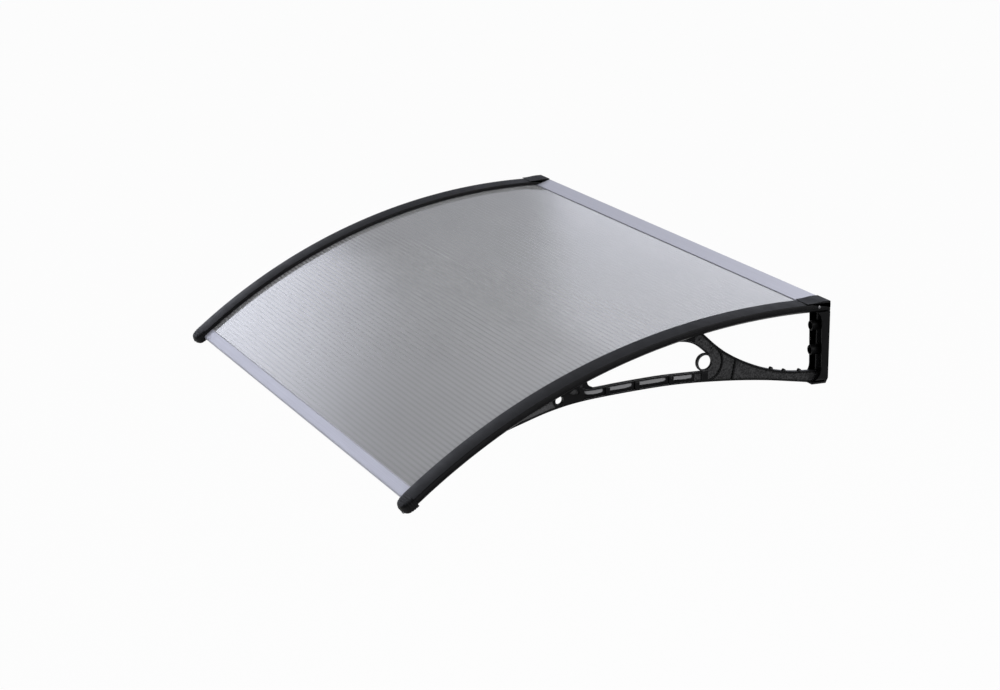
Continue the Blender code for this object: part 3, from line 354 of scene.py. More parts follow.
def grid_faces(rows, columns, closed=False):
    """Quads between the rows of a grid whose columns run round; closed joins the last row to the first."""
    i = np.arange(rows if closed else rows - 1)[:, None]
    j = np.arange(columns)[None, :]
    i_next = (i + 1) % rows
    j_next = (j + 1) % columns
    corners = (i * columns + j, i * columns + j_next, i_next * columns + j_next, i_next * columns + j)
    return np.stack(np.broadcast_arrays(*corners), axis=-1).reshape(-1, 4).tolist()


def mesh_object(name, points, faces):
    """A mesh object at the origin, its doubles merged and its faces turned outwards."""
    mesh = bpy.data.meshes.new(name)
    mesh.from_pydata(np.asarray(points).reshape(-1, 3).tolist(), [], faces)
    bm = bmesh.new()
    bm.from_mesh(mesh)
    bmesh.ops.remove_doubles(bm, verts=bm.verts, dist=1e-7)
    bmesh.ops.recalc_face_normals(bm, faces=bm.faces)
    bm.to_mesh(mesh)
    bm.free()
    item = bpy.data.objects.new(name, mesh)
    bpy.context.scene.collection.objects.link(item)
    return item


def carried(name, grid, poles=(False, False)):
    """A body through the rings of a grid, its ends filled unless they shrink to a pole."""
    rows, columns = grid.shape[:2]
    faces = grid_faces(rows, columns)
    if not poles[0]:
        faces.append(list(range(columns)))
    if not poles[1]:
        faces.append(list(range((rows - 1) * columns, rows * columns)))
    return mesh_object(name, grid, faces)


def plate(name, outline, x_from, x_to, rounding=0.0):
    """An outline of (distance, height) points extruded along X. Its rims follow a quarter circle."""
    outline = np.asarray(outline, float)
    following = np.roll(outline, -1, axis=0)
    area = np.sum(outline[:, 0] * following[:, 1] - following[:, 0] * outline[:, 1])
    if area < 0:
        outline = outline[::-1]
    after = np.roll(outline, -1, axis=0) - outline
    after /= np.linalg.norm(after, axis=1, keepdims=True)
    normals = np.stack((-after[:, 1], after[:, 0]), axis=1)
    both = normals + np.roll(normals, 1, axis=0)
    inwards = both / np.maximum(np.sum(both**2, axis=1, keepdims=True) / 2, 0.5)
    turn = np.linspace(0, math.pi / 2, RIM_STEPS + 1) if rounding else np.array([math.pi / 2])
    insets = rounding * (1 - np.sin(turn))
    runs = rounding * (1 - np.cos(turn)) if rounding else np.zeros(1)
    direction = math.copysign(1.0, x_to - x_from)
    x = np.concatenate((x_from + direction * runs, x_to - direction * runs[::-1]))
    inset = np.concatenate((insets, insets[::-1]))
    flat = outline[None] + inwards[None] * inset[:, None, None]
    grid = np.stack((np.broadcast_to(x[:, None], flat.shape[:2]), -flat[..., 0], flat[..., 1]), axis=-1)
    return carried(name, grid)


def turned(name, profile, start, axis, sides=ROUND_SIDES):
    """A profile of (height, radius) points turned round an axis; it closes where the radius is 0."""
    profile = np.asarray(profile, float)
    direction = Vector(axis).normalized()
    across = np.array(direction.orthogonal().normalized())
    direction = np.array(direction)
    other = np.cross(direction, across)
    turn = np.linspace(0, 2 * math.pi, sides, endpoint=False)[None, :, None]
    ring = across * np.cos(turn) + other * np.sin(turn)
    grid = np.array(start) + profile[:, 0, None, None] * direction + profile[:, 1, None, None] * ring
    return carried(name, grid, poles=(profile[0, 1] == 0.0, profile[-1, 1] == 0.0))


def rod(name, start, end, radius, sides=ROUND_SIDES, rounding=0.0):
    """A cylinder between two points, its rims rounded by a quarter circle."""
    axis = Vector(end) - Vector(start)
    turn = np.linspace(0, math.pi / 2, RIM_STEPS + 1)
    lower = np.stack((rounding * (1 - np.cos(turn)), radius - rounding * (1 - np.sin(turn))), axis=1)
    if not rounding:
        lower = np.array([(0.0, radius)])
    upper = lower[::-1] * (-1, 1) + (axis.length, 0)
    return turned(name, np.vstack((lower, upper)), start, axis, sides)


def along_arch(name, arch, section, side, start, end, steps=ARCH_STEPS):
    """A closed section of (inset, depth) points carried along the arch between two angles."""
    section = np.asarray(section, float)
    angle = np.linspace(start, end, steps + 1)[:, None]
    return carried(name, arch.points(arch.rail_x(side, section[None, :, 0]), section[None, :, 1], angle))


def box_section(inset_from, inset_to, depth_from, depth_to):
    """A rectangle of (inset, depth) points."""
    return [(inset_from, depth_from), (inset_from, depth_to), (inset_to, depth_to), (inset_to, depth_from)]


def combine(target, others, operation):
    """Joins closed bodies to the target, or cuts them from it, one after another."""
    for other in others:
        change = target.modifiers.new("combine", "BOOLEAN")
        change.operation = operation
        change.solver = "MANIFOLD"
        change.object = other
        bpy.context.view_layer.update()
        evaluated = target.evaluated_get(bpy.context.evaluated_depsgraph_get())
        mesh = bpy.data.meshes.new_from_object(evaluated)
        target.modifiers.clear()
        target.data = mesh
        bpy.data.objects.remove(other)
    return target


def finish_piece(item, material, nodes):
    """Shades a piece, gives it its finish, and lets it stand for its nodes on the frame's body."""
    mesh = item.data
    mesh.name = item.name
    mesh.materials.clear()
    mesh.materials.append(material)
    mesh.shade_smooth()
    mesh.set_sharp_from_angle(angle=math.radians(SMOOTH_ANGLE))
    even = item.modifiers.new("even shading", "WEIGHTED_NORMAL")
    even.keep_sharp = True
    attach(item, BODY)
    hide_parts(*nodes)


# Shader expressions


class Value:
    """A socket whose arithmetic adds Math nodes to its graph."""

    def __init__(self, graph, socket):
        self.graph = graph
        self.socket = socket

    def __add__(self, other):
        return self.graph.math("ADD", self, other)

    def __sub__(self, other):
        return self.graph.math("SUBTRACT", self, other)

    def __rsub__(self, other):
        return self.graph.math("SUBTRACT", other, self)

    def __mul__(self, other):
        return self.graph.math("MULTIPLY", self, other)

    def __truediv__(self, other):
        return self.graph.math("DIVIDE", self, other)

    def __neg__(self):
        return self * -1.0

    __radd__ = __add__
    __rmul__ = __mul__


class Graph:
    """A node tree that is filled by expressions."""

    def __init__(self, tree):
        self.tree = tree
        tree.nodes.clear()

    def add(self, kind, settings=None, inputs=None):
        """A node of a kind, with its settings first and then the values or links of its sockets."""
        node = self.tree.nodes.new(kind)
        for name, value in (settings or {}).items():
            setattr(node, name, value)
        for key, value in (inputs or {}).items():
            if isinstance(value, Value):
                self.tree.links.new(value.socket, node.inputs[key])
            else:
                node.inputs[key].default_value = value
        return node

    def value(self, kind, settings=None, inputs=None, output=0):
        """One output of a new node."""
        return Value(self, self.add(kind, settings, inputs).outputs[output])

    def math(self, operation, first, second=0.0):
        return self.value("ShaderNodeMath", {"operation": operation}, {0: first, 1: second})

    def step(self, value, low, high):
        """Rises smoothly from 0 to 1 while the value goes from low to high."""
        inputs = {"Value": value, "From Min": low, "From Max": high}
        return self.value("ShaderNodeMapRange", {"interpolation_type": "SMOOTHSTEP"}, inputs)

    def mix(self, factor, first, second):
        """A colour between two colours."""
        inputs = {0: factor, 6: first, 7: second}
        return self.value("ShaderNodeMix", {"data_type": "RGBA"}, inputs, 2)

    def seen(self, *kinds):
        """1 for rays of these kinds, and 0 for all others."""
        rays = self.add("ShaderNodeLightPath")
        seen = 0.0
        for kind in kinds:
            seen = self.math("MAXIMUM", Value(self, rays.outputs[kind]), seen)
        return seen

    def place(self):
        """The point on the object, in metres."""
        return self.value("ShaderNodeTexCoord", output=3)

    def parts(self, vector):
        """A vector's three numbers."""
        node = self.add("ShaderNodeSeparateXYZ", None, {0: vector})
        return [Value(self, socket) for socket in node.outputs]

    def scaled(self, vector, scale):
        return self.value("ShaderNodeMapping", None, {"Vector": vector, "Scale": scale})

    def noise(self, vector, scale, detail=2.0, roughness=0.5):
        inputs = {"Vector": vector, "Scale": scale, "Detail": detail, "Roughness": roughness}
        return self.value("ShaderNodeTexNoise", None, inputs)

    def bump(self, height, strength, distance, normal=None):
        inputs = {"Height": height, "Strength": strength, "Distance": distance}
        if normal is not None:
            inputs["Normal"] = normal
        return self.value("ShaderNodeBump", None, inputs)

    def mixed(self, factor, first, second, output_kind):
        """Two shaders mixed by a factor, wired to the tree's output."""
        mix = self.add("ShaderNodeMixShader", None, {0: factor})
        output = self.add(output_kind)
        self.tree.links.new(first.outputs[0], mix.inputs[1])
        self.tree.links.new(second.outputs[0], mix.inputs[2])
        self.tree.links.new(mix.outputs[0], output.inputs[0])

    def principled(self, inputs):
        """The surface shader, wired to the material's output."""
        shader = self.add("ShaderNodeBsdfPrincipled", None, inputs)
        output = self.add("ShaderNodeOutputMaterial")
        self.tree.links.new(shader.outputs[0], output.inputs[0])


def material_graph(name):
    """A new material and the graph of its nodes."""
    material = bpy.data.materials.new(name)
    material.use_nodes = True
    return material, Graph(material.node_tree)


def opaque(colour_value, factor=1.0):
    """A colour times a factor, with full alpha."""
    return tuple(part * factor for part in colour_value[:3]) + (1.0,)


def moulded_plastic(name, tint, grain, gloss, shine, recess=None):
    """Black plastic: a fine moulded grain, faint flow marks and a satin sheen that varies a little.

    recess gives the middle and half width of the sunk panels, whose side faces have a coarse, lighter
    grain, and the first and last distance of the arm's bays, where only the sloping pads have it. The
    pads' upward faces are painted light grey as a painted highlight, and the panels past the last bay
    are painted lighter towards the front as painted light.
    """
    material, graph = material_graph(name)
    place = graph.place()
    fine = graph.noise(place, 2600.0, 3.0, 0.6)
    flow = graph.noise(graph.scaled(place, (3.0, 9.0, 9.0)), 6.0, 4.0, 0.55)
    wide = graph.step(flow, 0.35, 0.70)
    base = graph.mix(wide, opaque(tint, 0.85), opaque(tint, 1.25))
    roughness = wide * 0.08 + fine * 0.06 + gloss
    relief = graph.bump(fine, grain, 0.0002)
    if recess:
        middle, half, first, last = recess
        x, y, _ = graph.parts(place)
        across = graph.math("ABSOLUTE", graph.math("ABSOLUTE", x) - middle)
        sideways, _, upwards = graph.parts(graph.value("ShaderNodeTexCoord", output=1))
        sideways = graph.math("ABSOLUTE", sideways)
        in_bay = graph.step(-y, first, first + 0.0005) * (1.0 - graph.step(-y, last, last + 0.0005))
        # Painted highlight: pad is the pads' upward-sloping faces, which get the light grey
        pad = in_bay * graph.step(upwards, 0.10, 0.25)
        sunk = (1.0 - graph.step(across, half, half + 0.0002)) * graph.step(sideways, 0.55, 0.75)
        sunk = sunk * (1.0 - in_bay + pad)
        coarse = graph.noise(place, 420.0, 4.0, 0.65)
        dark, light = PANEL_GRAIN
        mottled = graph.mix(graph.step(coarse, 0.38, 0.62), opaque(dark), opaque(light))
        # Painted light: the panels past the last bay grow lighter towards the front
        front_painted_light = graph.step(-y, last, last + FRONT_PANEL_LIGHT_REACH) * FRONT_PANEL_PAINTED_LIGHT
        # Painted highlight and painted light: the pads and the front panel are mixed towards the light grey
        mottled = graph.mix(pad + front_painted_light, mottled, opaque(PAD_PAINTED_HIGHLIGHT))
        base = graph.mix(sunk, base, mottled)
        roughness = sunk * PANEL_ROUGHNESS + roughness
        relief = graph.bump(sunk * coarse, 0.5, 0.0004, relief)
    relief = graph.bump(flow, 0.10, 0.002, relief)
    graph.principled(
        {
            "Base Color": base,
            "Roughness": roughness,
            "IOR": 1.50,
            "Specular IOR Level": shine,
            "Normal": relief,
        }
    )
    return material


def anodised_aluminium(name, tint):
    """Natural anodised extrusion: fine die lines along its length, and soft cloudy patches."""
    material, graph = material_graph(name)
    place = graph.place()
    lines = graph.noise(graph.scaled(place, (0.6, 900.0, 900.0)), 1.0, 2.0, 0.7)
    cloud = graph.noise(graph.scaled(place, (4.0, 30.0, 30.0)), 2.0, 3.0, 0.6)
    base = graph.mix(graph.step(lines, 0.3, 0.7), opaque(tint, 0.93), opaque(tint, 1.05))
    base = graph.mix(graph.step(cloud, 0.35, 0.65) * 0.25, base, opaque(tint, 0.90))
    graph.principled(
        {
            "Base Color": base,
            "Metallic": 0.40,
            "Roughness": lines * 0.10 + cloud * 0.08 + 0.34,
            "Normal": graph.bump(lines, 0.25, 0.0001),
        }
    )
    return material


def fluted_sheet(arch, tint, rear, pitch):
    """Clear twin-wall sheet: each web shows as a thin line, and the skins dip slightly between webs.

    A point's flute is (its angle on the arch - the rear edge's angle) / pitch. The lines are painted shade
    in the base colour: darker at the webs and in a cosine wave between them, where the skins dip, and
    they fade towards the wall.
    """
    material, graph = material_graph("twin-wall polycarbonate")
    place = graph.place()
    _, y, z = graph.parts(place)
    angle = graph.math("ARCTAN2", -(y + arch.crown), z - arch.centre_z)
    flute = graph.math("FRACT", (angle - rear) / pitch + 100.0)
    web = graph.step(graph.math("ABSOLUTE", flute - 0.5), 0.34, 0.5)
    cloud = graph.noise(graph.scaled(place, (1.5, 3.0, 3.0)), 2.5, 3.0, 0.5)
    fine = graph.noise(place, 700.0, 2.0)
    clear = graph.mix(graph.step(cloud, 0.35, 0.65), opaque(tint, 0.98), opaque(tint, 1.02))
    wave = graph.math("COSINE", flute * 2 * math.pi)
    # Painted shade: darker lines at the webs and bands along the dipping skins, fading towards the wall
    lines = (web * 0.35 + wave * 0.33) * (graph.step(-y, 0.15, 0.55) * 0.85 + 0.15)
    base = graph.mix(lines + 0.38, clear, opaque(tint, 0.80))
    drawn = graph.noise(graph.scaled(place, (1.5, 2400.0, 2400.0)), 1.0, 1.0, 0.5)
    relief = graph.bump(wave, 1.0, 0.00001)
    relief = graph.bump(drawn, 0.30, 0.00004, relief)
    graph.principled(
        {
            "Base Color": base,
            "Roughness": fine * 0.02 + web * 0.04 + 0.06,
            "IOR": 1.58,
            "Transmission Weight": 0.62,
            "Normal": relief,
        }
    )
    return material


def soft_rubber(name, tint):
    """Rubber: matt, with a fine grain."""
    material, graph = material_graph(name)
    place = graph.place()
    grain = graph.noise(place, 1800.0, 3.0, 0.6)
    base = graph.mix(graph.step(grain, 0.3, 0.7), opaque(tint, 0.80), opaque(tint, 1.2))
    relief = graph.bump(grain, 0.3, 0.0002)
    graph.principled({"Base Color": base, "Roughness": grain * 0.12 + 0.68, "Normal": relief})
    return material


def plated_steel(name, tint):
    """Zinc-plated screws: faintly mottled metal."""
    material, graph = material_graph(name)
    place = graph.place()
    mottle = graph.noise(place, 900.0, 3.0, 0.6)
    base = graph.mix(graph.step(mottle, 0.35, 0.65), opaque(tint, 0.85), opaque(tint, 1.1))
    graph.principled(
        {
            "Base Color": base,
            "Metallic": 1.0,
            "Roughness": mottle * 0.15 + 0.24,
            "Normal": graph.bump(mottle, 0.15, 0.0001),
        }
    )
    return material


def shared_material(name, make, *details):
    """A finish by its name, made when it is first asked for."""
    return bpy.data.materials.get(name) or make(name, *details)


def bracket_plastic(colours, sizes):
    """The brackets' plastic, with the place of their sunk panels."""
    recess = (sizes.half_width - sizes.rail_width / 2, PANEL_HALF_WIDTH, RING_FOOT_END, PAD_LAST)
    return shared_material("bracket plastic", moulded_plastic, colours.plastic, 0.30, 0.34, 0.06, recess)


def cover_plastic(colours):
    """The rails' and caps' plastic."""
    return shared_material("cover plastic", moulded_plastic, colours.cover, 0.22, 0.45, 0.09)


# Sheet and profiles


class CANOPY_OT_sheet(bpy.types.Operator):
    """Build the twin-wall sheet: two skins joined by webs, its flutes open at both sides"""

    bl_idname = "canopy.sheet"
    bl_label = "Twin-wall sheet"

    SKIN = 0.0007
    WEB = 0.0006

    def execute(self, context):
        sizes = context.scene.canopy_sizes
        arch = Arch(sizes)
        radius = arch.radius - sizes.sheet_depth
        rear = float(arch.angle(-SHEET_HIGH.y, sizes.sheet_depth))
        nose = arch.angle(FRONT_PROFILE_START, sizes.sheet_depth) + FRONT_PROFILE_LENGTH / radius
        front = float(nose - (PROFILE_WALL + sizes.clearance) / radius)
        flutes = round(radius * (front - rear) / sizes.flute_pitch)
        pitch = (front - rear - self.WEB / radius) / flutes
        starts = rear + np.arange(flutes + 1) * pitch
        angles = np.stack((starts, starts + self.WEB / radius), axis=1).reshape(-1)
        top = sizes.sheet_depth
        bottom = top + sizes.sheet_thickness
        depths = np.array([top, top + self.SKIN, bottom - self.SKIN, bottom])
        x = np.array([SHEET_LOW.x, SHEET_HIGH.x])[:, None, None]
        points = arch.points(x, depths[None, None, :], angles[None, :, None])
        sheet = mesh_object("twin_wall_sheet", points, self.faces(len(angles)))
        material = fluted_sheet(arch, context.scene.canopy_colours.sheet, rear, pitch)
        finish_piece(sheet, material, ["polycarbonate_sheet"])
        return {"FINISHED"}

    def faces(self, rows):
        """Index of a point is end * rows * 4 + row * 4 + layer; odd spans between rows are flutes."""
        row = np.arange(rows - 1)[:, None]
        layer = np.arange(3)[None, :]
        solid = (row % 2 == 0) | (layer != 1)
        cell = (row * 4 + layer)[solid]
        other = rows * 4
        ends = [np.stack((cell + k, cell + k + 4, cell + k + 5, cell + k + 1), axis=1) for k in (0, other)]
        level = np.arange(4)[None, :]
        skin = (row % 2 == 1) | (level % 3 == 0)
        cell = (row * 4 + level)[skin]
        skins = np.stack((cell, cell + 4, cell + 4 + other, cell + other), axis=1)
        row = np.arange(rows)[:, None]
        wall = (row == 0) | (row == rows - 1) | (layer == 1)
        cell = (row * 4 + layer)[wall]
        webs = np.stack((cell, cell + 1, cell + 1 + other, cell + other), axis=1)
        return np.vstack(ends + [skins, webs]).tolist()


class CANOPY_OT_profiles(bpy.types.Operator):
    """Build the aluminium profiles on the front and rear edges of the sheet, with their seal lips"""

    bl_idname = "canopy.profiles"
    bl_label = "Edge profiles"

    LOWER_LIP = 0.0120
    WALL_LOWER = 0.0180
    WALL_RISE = 0.0135
    EDGE = 0.0004
    SEAL_WIDTH = 0.0016
    SEAL_STAND = 0.0006

    def execute(self, context):
        sizes = context.scene.canopy_sizes
        colours = context.scene.canopy_colours
        arch = Arch(sizes)
        metal = shared_material("anodised aluminium", anodised_aluminium, colours.aluminium)
        pale = shared_material("pale seal rubber", soft_rubber, colours.pale_seal)
        grey = shared_material("grey seal rubber", soft_rubber, colours.seal)
        for name, outline, node in (
            ("front_edge_profile", self.front(arch), "front_profile"),
            ("wall_edge_profile", self.wall(arch), "wall_profile"),
        ):
            piece = self.across(name, outline, node, self.EDGE / 2)
            finish_piece(piece, metal, [node])
        for name, outline, node, finish in (
            ("front_seal_lip", self.front_seal(arch), "front_profile_seal", pale),
            ("wall_seal_lip", self.wall_seal(arch), "wall_profile_seal", grey),
        ):
            piece = self.across(name, filleted(outline, self.SEAL_STAND / 2), node, 0.0)
            finish_piece(piece, finish, [node])
        return {"FINISHED"}

    def across(self, name, outline, node, rounding):
        """The outline extruded over the width that its node has."""
        low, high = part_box(node)
        return plate(name, outline, low.x, high.x, rounding)

    def front_points(self, arch, points):
        """(run along the sheet from the profile's upper edge, height over the sheet) as (distance, z)."""
        points = np.asarray(points, float)
        radius = arch.radius - arch.sizes.sheet_depth
        angle = arch.angle(FRONT_PROFILE_START, arch.sizes.sheet_depth) + points[:, 0] / radius
        found = arch.points(0.0, arch.sizes.sheet_depth - points[:, 1], angle)
        return np.stack((-found[:, 1], found[:, 2]), axis=1)

    def front(self, arch):
        """A channel round the sheet's edge: a half circle is its nose."""
        gap = arch.sizes.clearance
        top = gap + PROFILE_WALL
        bottom = -arch.sizes.sheet_thickness - gap - PROFILE_WALL
        nose = (top - bottom) / 2
        slot = FRONT_PROFILE_LENGTH - PROFILE_WALL
        lower = FRONT_PROFILE_LENGTH - self.LOWER_LIP
        turn = np.linspace(0, math.pi, 25)
        run = FRONT_PROFILE_LENGTH - nose + nose * np.sin(turn)
        round_nose = np.stack((run, (top + bottom) / 2 + nose * np.cos(turn)), axis=1)
        mouth = [(slot, bottom + PROFILE_WALL), (slot, gap)]
        before = filleted([mouth[1], (0, gap), (0, top), round_nose[0]], self.EDGE)[5:15]
        lip = [(lower, bottom), (lower, bottom + PROFILE_WALL)]
        after = filleted([round_nose[-1], *lip, mouth[0]], self.EDGE)[5:15]
        upper_run = np.stack((np.linspace(PROFILE_WALL, run[0], 8), np.full(8, top)), axis=1)[1:-1]
        return self.front_points(arch, np.vstack((before, upper_run, round_nose, after, mouth)))

    def wall(self, arch):
        """A channel whose top slopes down from the wall to the sheet."""
        sizes = arch.sizes
        gap = sizes.clearance
        reach = WALL_PROFILE_DISTANCE
        lip = arch.height(reach, sizes.sheet_depth) + gap
        lower = arch.height(0, sizes.sheet_depth + sizes.sheet_thickness) - gap
        rise = self.WALL_RISE
        outline = [
            (0, lower - PROFILE_WALL),
            (0, rise),
            (reach - PROFILE_WALL, lip + PROFILE_WALL),
            (reach, lip + PROFILE_WALL / 2),
            (reach, lip),
            (reach - 2 * PROFILE_WALL, lip),
            (PROFILE_WALL, rise - 2 * PROFILE_WALL),
            (PROFILE_WALL, lower),
            (self.WALL_LOWER, lower),
            (self.WALL_LOWER, lower - PROFILE_WALL),
        ]
        return filleted(outline, self.EDGE)

    def front_seal(self, arch):
        """A low trapezium on the sheet, before the front profile's upper edge."""
        gap = arch.sizes.clearance
        start = -self.SEAL_WIDTH - gap
        height = gap + PROFILE_WALL - self.SEAL_STAND
        corners = [(start, gap), (start + self.SEAL_STAND, height), (-gap, height), (-gap, gap)]
        return self.front_points(arch, corners)

    def wall_seal(self, arch):
        """A low trapezium on the sheet, before the wall profile's upper edge."""
        depth = arch.sizes.sheet_depth
        gap = arch.sizes.clearance
        start = WALL_PROFILE_DISTANCE + gap
        end = start + self.SEAL_WIDTH
        height = gap + PROFILE_WALL - self.SEAL_STAND
        distances = (start, start, end - self.SEAL_STAND, end)
        heights = (gap, height, height, gap)
        return [(d, arch.height(d, depth - h)) for d, h in zip(distances, heights)]


# Rails, gaskets, screws


class CANOPY_OT_rails(bpy.types.Operator):
    """Build the two cover rails and the gaskets under their inner lips"""

    bl_idname = "canopy.rails"
    bl_label = "Cover rails"

    EDGE = 0.0018
    LIP = 0.0040
    RIB_WIDTH = 0.0060
    GASKET_WIDTH = 0.0026
    GASKET_THICKNESS = 0.0010
    GASKET_EDGE = 0.0003

    def execute(self, context):
        sizes = context.scene.canopy_sizes
        colours = context.scene.canopy_colours
        plastic = cover_plastic(colours)
        rubber = shared_material("gasket rubber", soft_rubber, colours.rubber)
        arch = Arch(sizes)
        for side, label in SIDES:
            finish_piece(self.cover(arch, side, label), plastic, ["cover_rail_" + label])
            finish_piece(self.gasket(arch, side, label), rubber, ["cover_gasket_" + label])
        return {"FINISHED"}

    def section(self, sizes):
        """The plate's top is a shallow parabola between two rounded edges, with a lip down each side."""
        width = sizes.rail_width
        edge = self.EDGE
        turn = np.linspace(math.pi, math.pi / 2, 7)
        left = np.stack((edge + edge * np.cos(turn), edge - edge * np.sin(turn)), axis=1)
        across = np.linspace(edge, width - edge, 13)[1:-1]
        middle = (across - width / 2) / (width / 2 - edge)
        top = np.stack((across, -RAIL_CROWN * (1 - middle**2)), axis=1)
        right = left[::-1] * (-1, 1) + (width, 0)
        gasket_top = sizes.sheet_depth - self.GASKET_THICKNESS - 2 * sizes.clearance
        inner = width - self.GASKET_WIDTH - sizes.clearance
        under = [
            (width, gasket_top),
            (inner, gasket_top),
            (inner, COVER_PLATE),
            (self.LIP, COVER_PLATE),
            (self.LIP, COVER_OUTER_LIP),
            (0, COVER_OUTER_LIP),
        ]
        return np.vstack((left, top, right, under))

    def cover(self, arch, side, label):
        """The section along the arch, with the ribs that the clamp screws bite in and room for the cheek."""
        sizes = arch.sizes
        gap = sizes.clearance
        start = float(arch.angle(WALL_CAP_BACK + gap))
        cover = along_arch("rail_cover_" + label, arch, self.section(sizes), side, start, arch.end)
        rib = box_section(
            SCREW_RIB_INSET - self.RIB_WIDTH / 2,
            SCREW_RIB_INSET + self.RIB_WIDTH / 2,
            COVER_PLATE / 2,
            arch.seat_top - gap,
        )
        rib_start = float(arch.angle(WALL_CAP_BACK + 2 * gap))
        rib_end = float(arch.angle(sizes.rail_end - 2 * gap))
        combine(cover, [along_arch("rib", arch, rib, side, rib_start, rib_end)], "UNION")
        room = box_section(-self.LIP, CHEEK + gap, -2 * RAIL_CROWN, 2 * COVER_OUTER_LIP)
        room_start = float(arch.angle(0.0))
        room_end = float(arch.angle(CHEEK_LENGTH + gap))
        combine(cover, [along_arch("room", arch, room, side, room_start, room_end, 4)], "DIFFERENCE")
        return cover

    def gasket(self, arch, side, label):
        """A flat band between the cover rail's inner lip and the sheet."""
        sizes = arch.sizes
        bottom = sizes.sheet_depth - sizes.clearance
        inner = sizes.rail_width - sizes.clearance
        section = box_section(inner, inner - self.GASKET_WIDTH, bottom - self.GASKET_THICKNESS, bottom)
        start = float(arch.angle(WALL_PROFILE_DISTANCE, sizes.sheet_depth))
        end = float(arch.angle(FRONT_PROFILE_START, sizes.sheet_depth))
        section = filleted(section, self.GASKET_EDGE, 2)
        return along_arch("rail_gasket_" + label, arch, section, side, start, end)


DOME_RIM = 0.25
DOME_POWER = 0.6
THREAD_PITCH = 0.45
THREAD_ROOT = 0.84
CROSS_DEPTH = 0.55
CROSS_ARM = 0.52
CROSS_HALF_WIDTH = 0.13
CROSS_TAPER = 0.35
CROSS_TURN = math.radians(25)


def pan_screw(name, start, axis, shank, radius, head_radius, head):
    """A pan-head screw, turned from a profile, with two crossed wedges cut out of its head.

    The dome's height goes with sin(turn) over a low rim, and its radius with a power of cos(turn). The
    shank's radius changes between thread and root at every second point.
    """
    turn = np.linspace(0, math.pi / 2, 9)
    dome_height = head * (DOME_RIM + (1 - DOME_RIM) * np.sin(turn))
    dome = np.stack((dome_height, head_radius * np.cos(turn) ** DOME_POWER), axis=1)
    thread = np.arange(0, shank - radius, radius * THREAD_PITCH)
    ridge = radius * np.where(np.arange(len(thread)) % 2, 1.0, THREAD_ROOT)
    shank_profile = [(-shank, 0.0)] + list(zip(-shank + radius + thread, ridge)) + [(0.0, radius)]
    profile = np.vstack((shank_profile, [(0.0, head_radius)], dome))
    profile[-1, 1] = 0.0
    screw = turned(name, profile, start, axis, 32)
    direction = Vector(axis).normalized()
    place = Matrix.Translation(start) @ direction.to_track_quat("Z", "X").to_matrix().to_4x4()
    square = np.array([(-1, -1), (1, -1), (1, 1), (-1, 1)]) * head_radius * (CROSS_ARM, CROSS_HALF_WIDTH)
    above = np.column_stack((square, np.full(4, head * 1.2)))
    below = np.column_stack((square * (CROSS_TAPER, 1), np.full(4, head * (1 - CROSS_DEPTH))))
    cutters = []
    for quarter in (0.0, math.pi / 2):
        cutter = carried("cutter", np.stack((above, below)))
        cutter.data.transform(place @ Matrix.Rotation(CROSS_TURN + quarter, 4, "Z"))
        cutters.append(cutter)
    return combine(screw, cutters, "DIFFERENCE")


def wall_cap_screw_line(arch, side):
    """Where the wall cap's side screw enters, and the way out of it."""
    angle = float(arch.angle(WALL_SCREW_DISTANCE, WALL_SCREW_DEPTH))
    return Vector(arch.points(arch.rail_x(side, 0), WALL_SCREW_DEPTH, angle)), Vector((side, 0, 0))


def front_cap_screw_line(arch, side):
    """Where the front cap's screw stands on the round nose, and the way out of it."""
    sizes = arch.sizes
    offset = sizes.rail_width / 2 - CAP_SCREW_INSET
    lean = math.asin(offset / (sizes.rail_width / 2 + CAP_PROUD))
    run = CAP_STRAIGHT + CAP_NOSE * math.cos(lean)
    angle = arch.end + (sizes.clearance + run) / arch.radius
    forwards = Vector((0, -math.cos(angle), -math.sin(angle)))
    point = Vector(arch.points(arch.rail_x(side, CAP_SCREW_INSET), CAP_SCREW_DEPTH, angle))
    return point, forwards * math.cos(lean) + Vector((side * math.sin(lean), 0, 0))


class CANOPY_OT_screws(bpy.types.Operator):
    """Build the clamp screws under the seats and the screws of the end caps"""

    bl_idname = "canopy.screws"
    bl_label = "Screws"

    def execute(self, context):
        sizes = context.scene.canopy_sizes
        arch = Arch(sizes)
        gap = sizes.clearance
        tint = context.scene.canopy_colours.steel
        material = shared_material("zinc-plated steel", plated_steel, tint)
        head_depth = arch.seat_bottom - CLAMP_SCREW[2] - gap / 2
        for side, label in SIDES:
            for number, distance in enumerate(CLAMP_DISTANCES, 1):
                angle = float(arch.angle(distance, arch.seat_top))
                out = Vector((0, math.sin(angle), -math.cos(angle)))
                start = Vector(arch.points(arch.rail_x(side, SCREW_RIB_INSET), head_depth, angle))
                shank = head_depth - COVER_PLATE - 2 * gap
                name = f"clamp_screw_{label}_{number}"
                piece = pan_screw("fitted_" + name, start, out, shank, *CLAMP_SCREW)
                finish_piece(piece, material, [name])
            point, out = front_cap_screw_line(arch, side)
            name = "front_cap_screw_" + label
            piece = pan_screw("fitted_" + name, point + out * 2 * gap, out, CAP_SCREW_SHANK, *CAP_SCREW)
            finish_piece(piece, material, [name])
            point, out = wall_cap_screw_line(arch, side)
            name = "wall_cap_screw_" + label
            piece = pan_screw("fitted_" + name, point + out * gap, out, WALL_SCREW_SHANK, *CAP_SCREW)
            finish_piece(piece, material, [name])
        return {"FINISHED"}


# Brackets


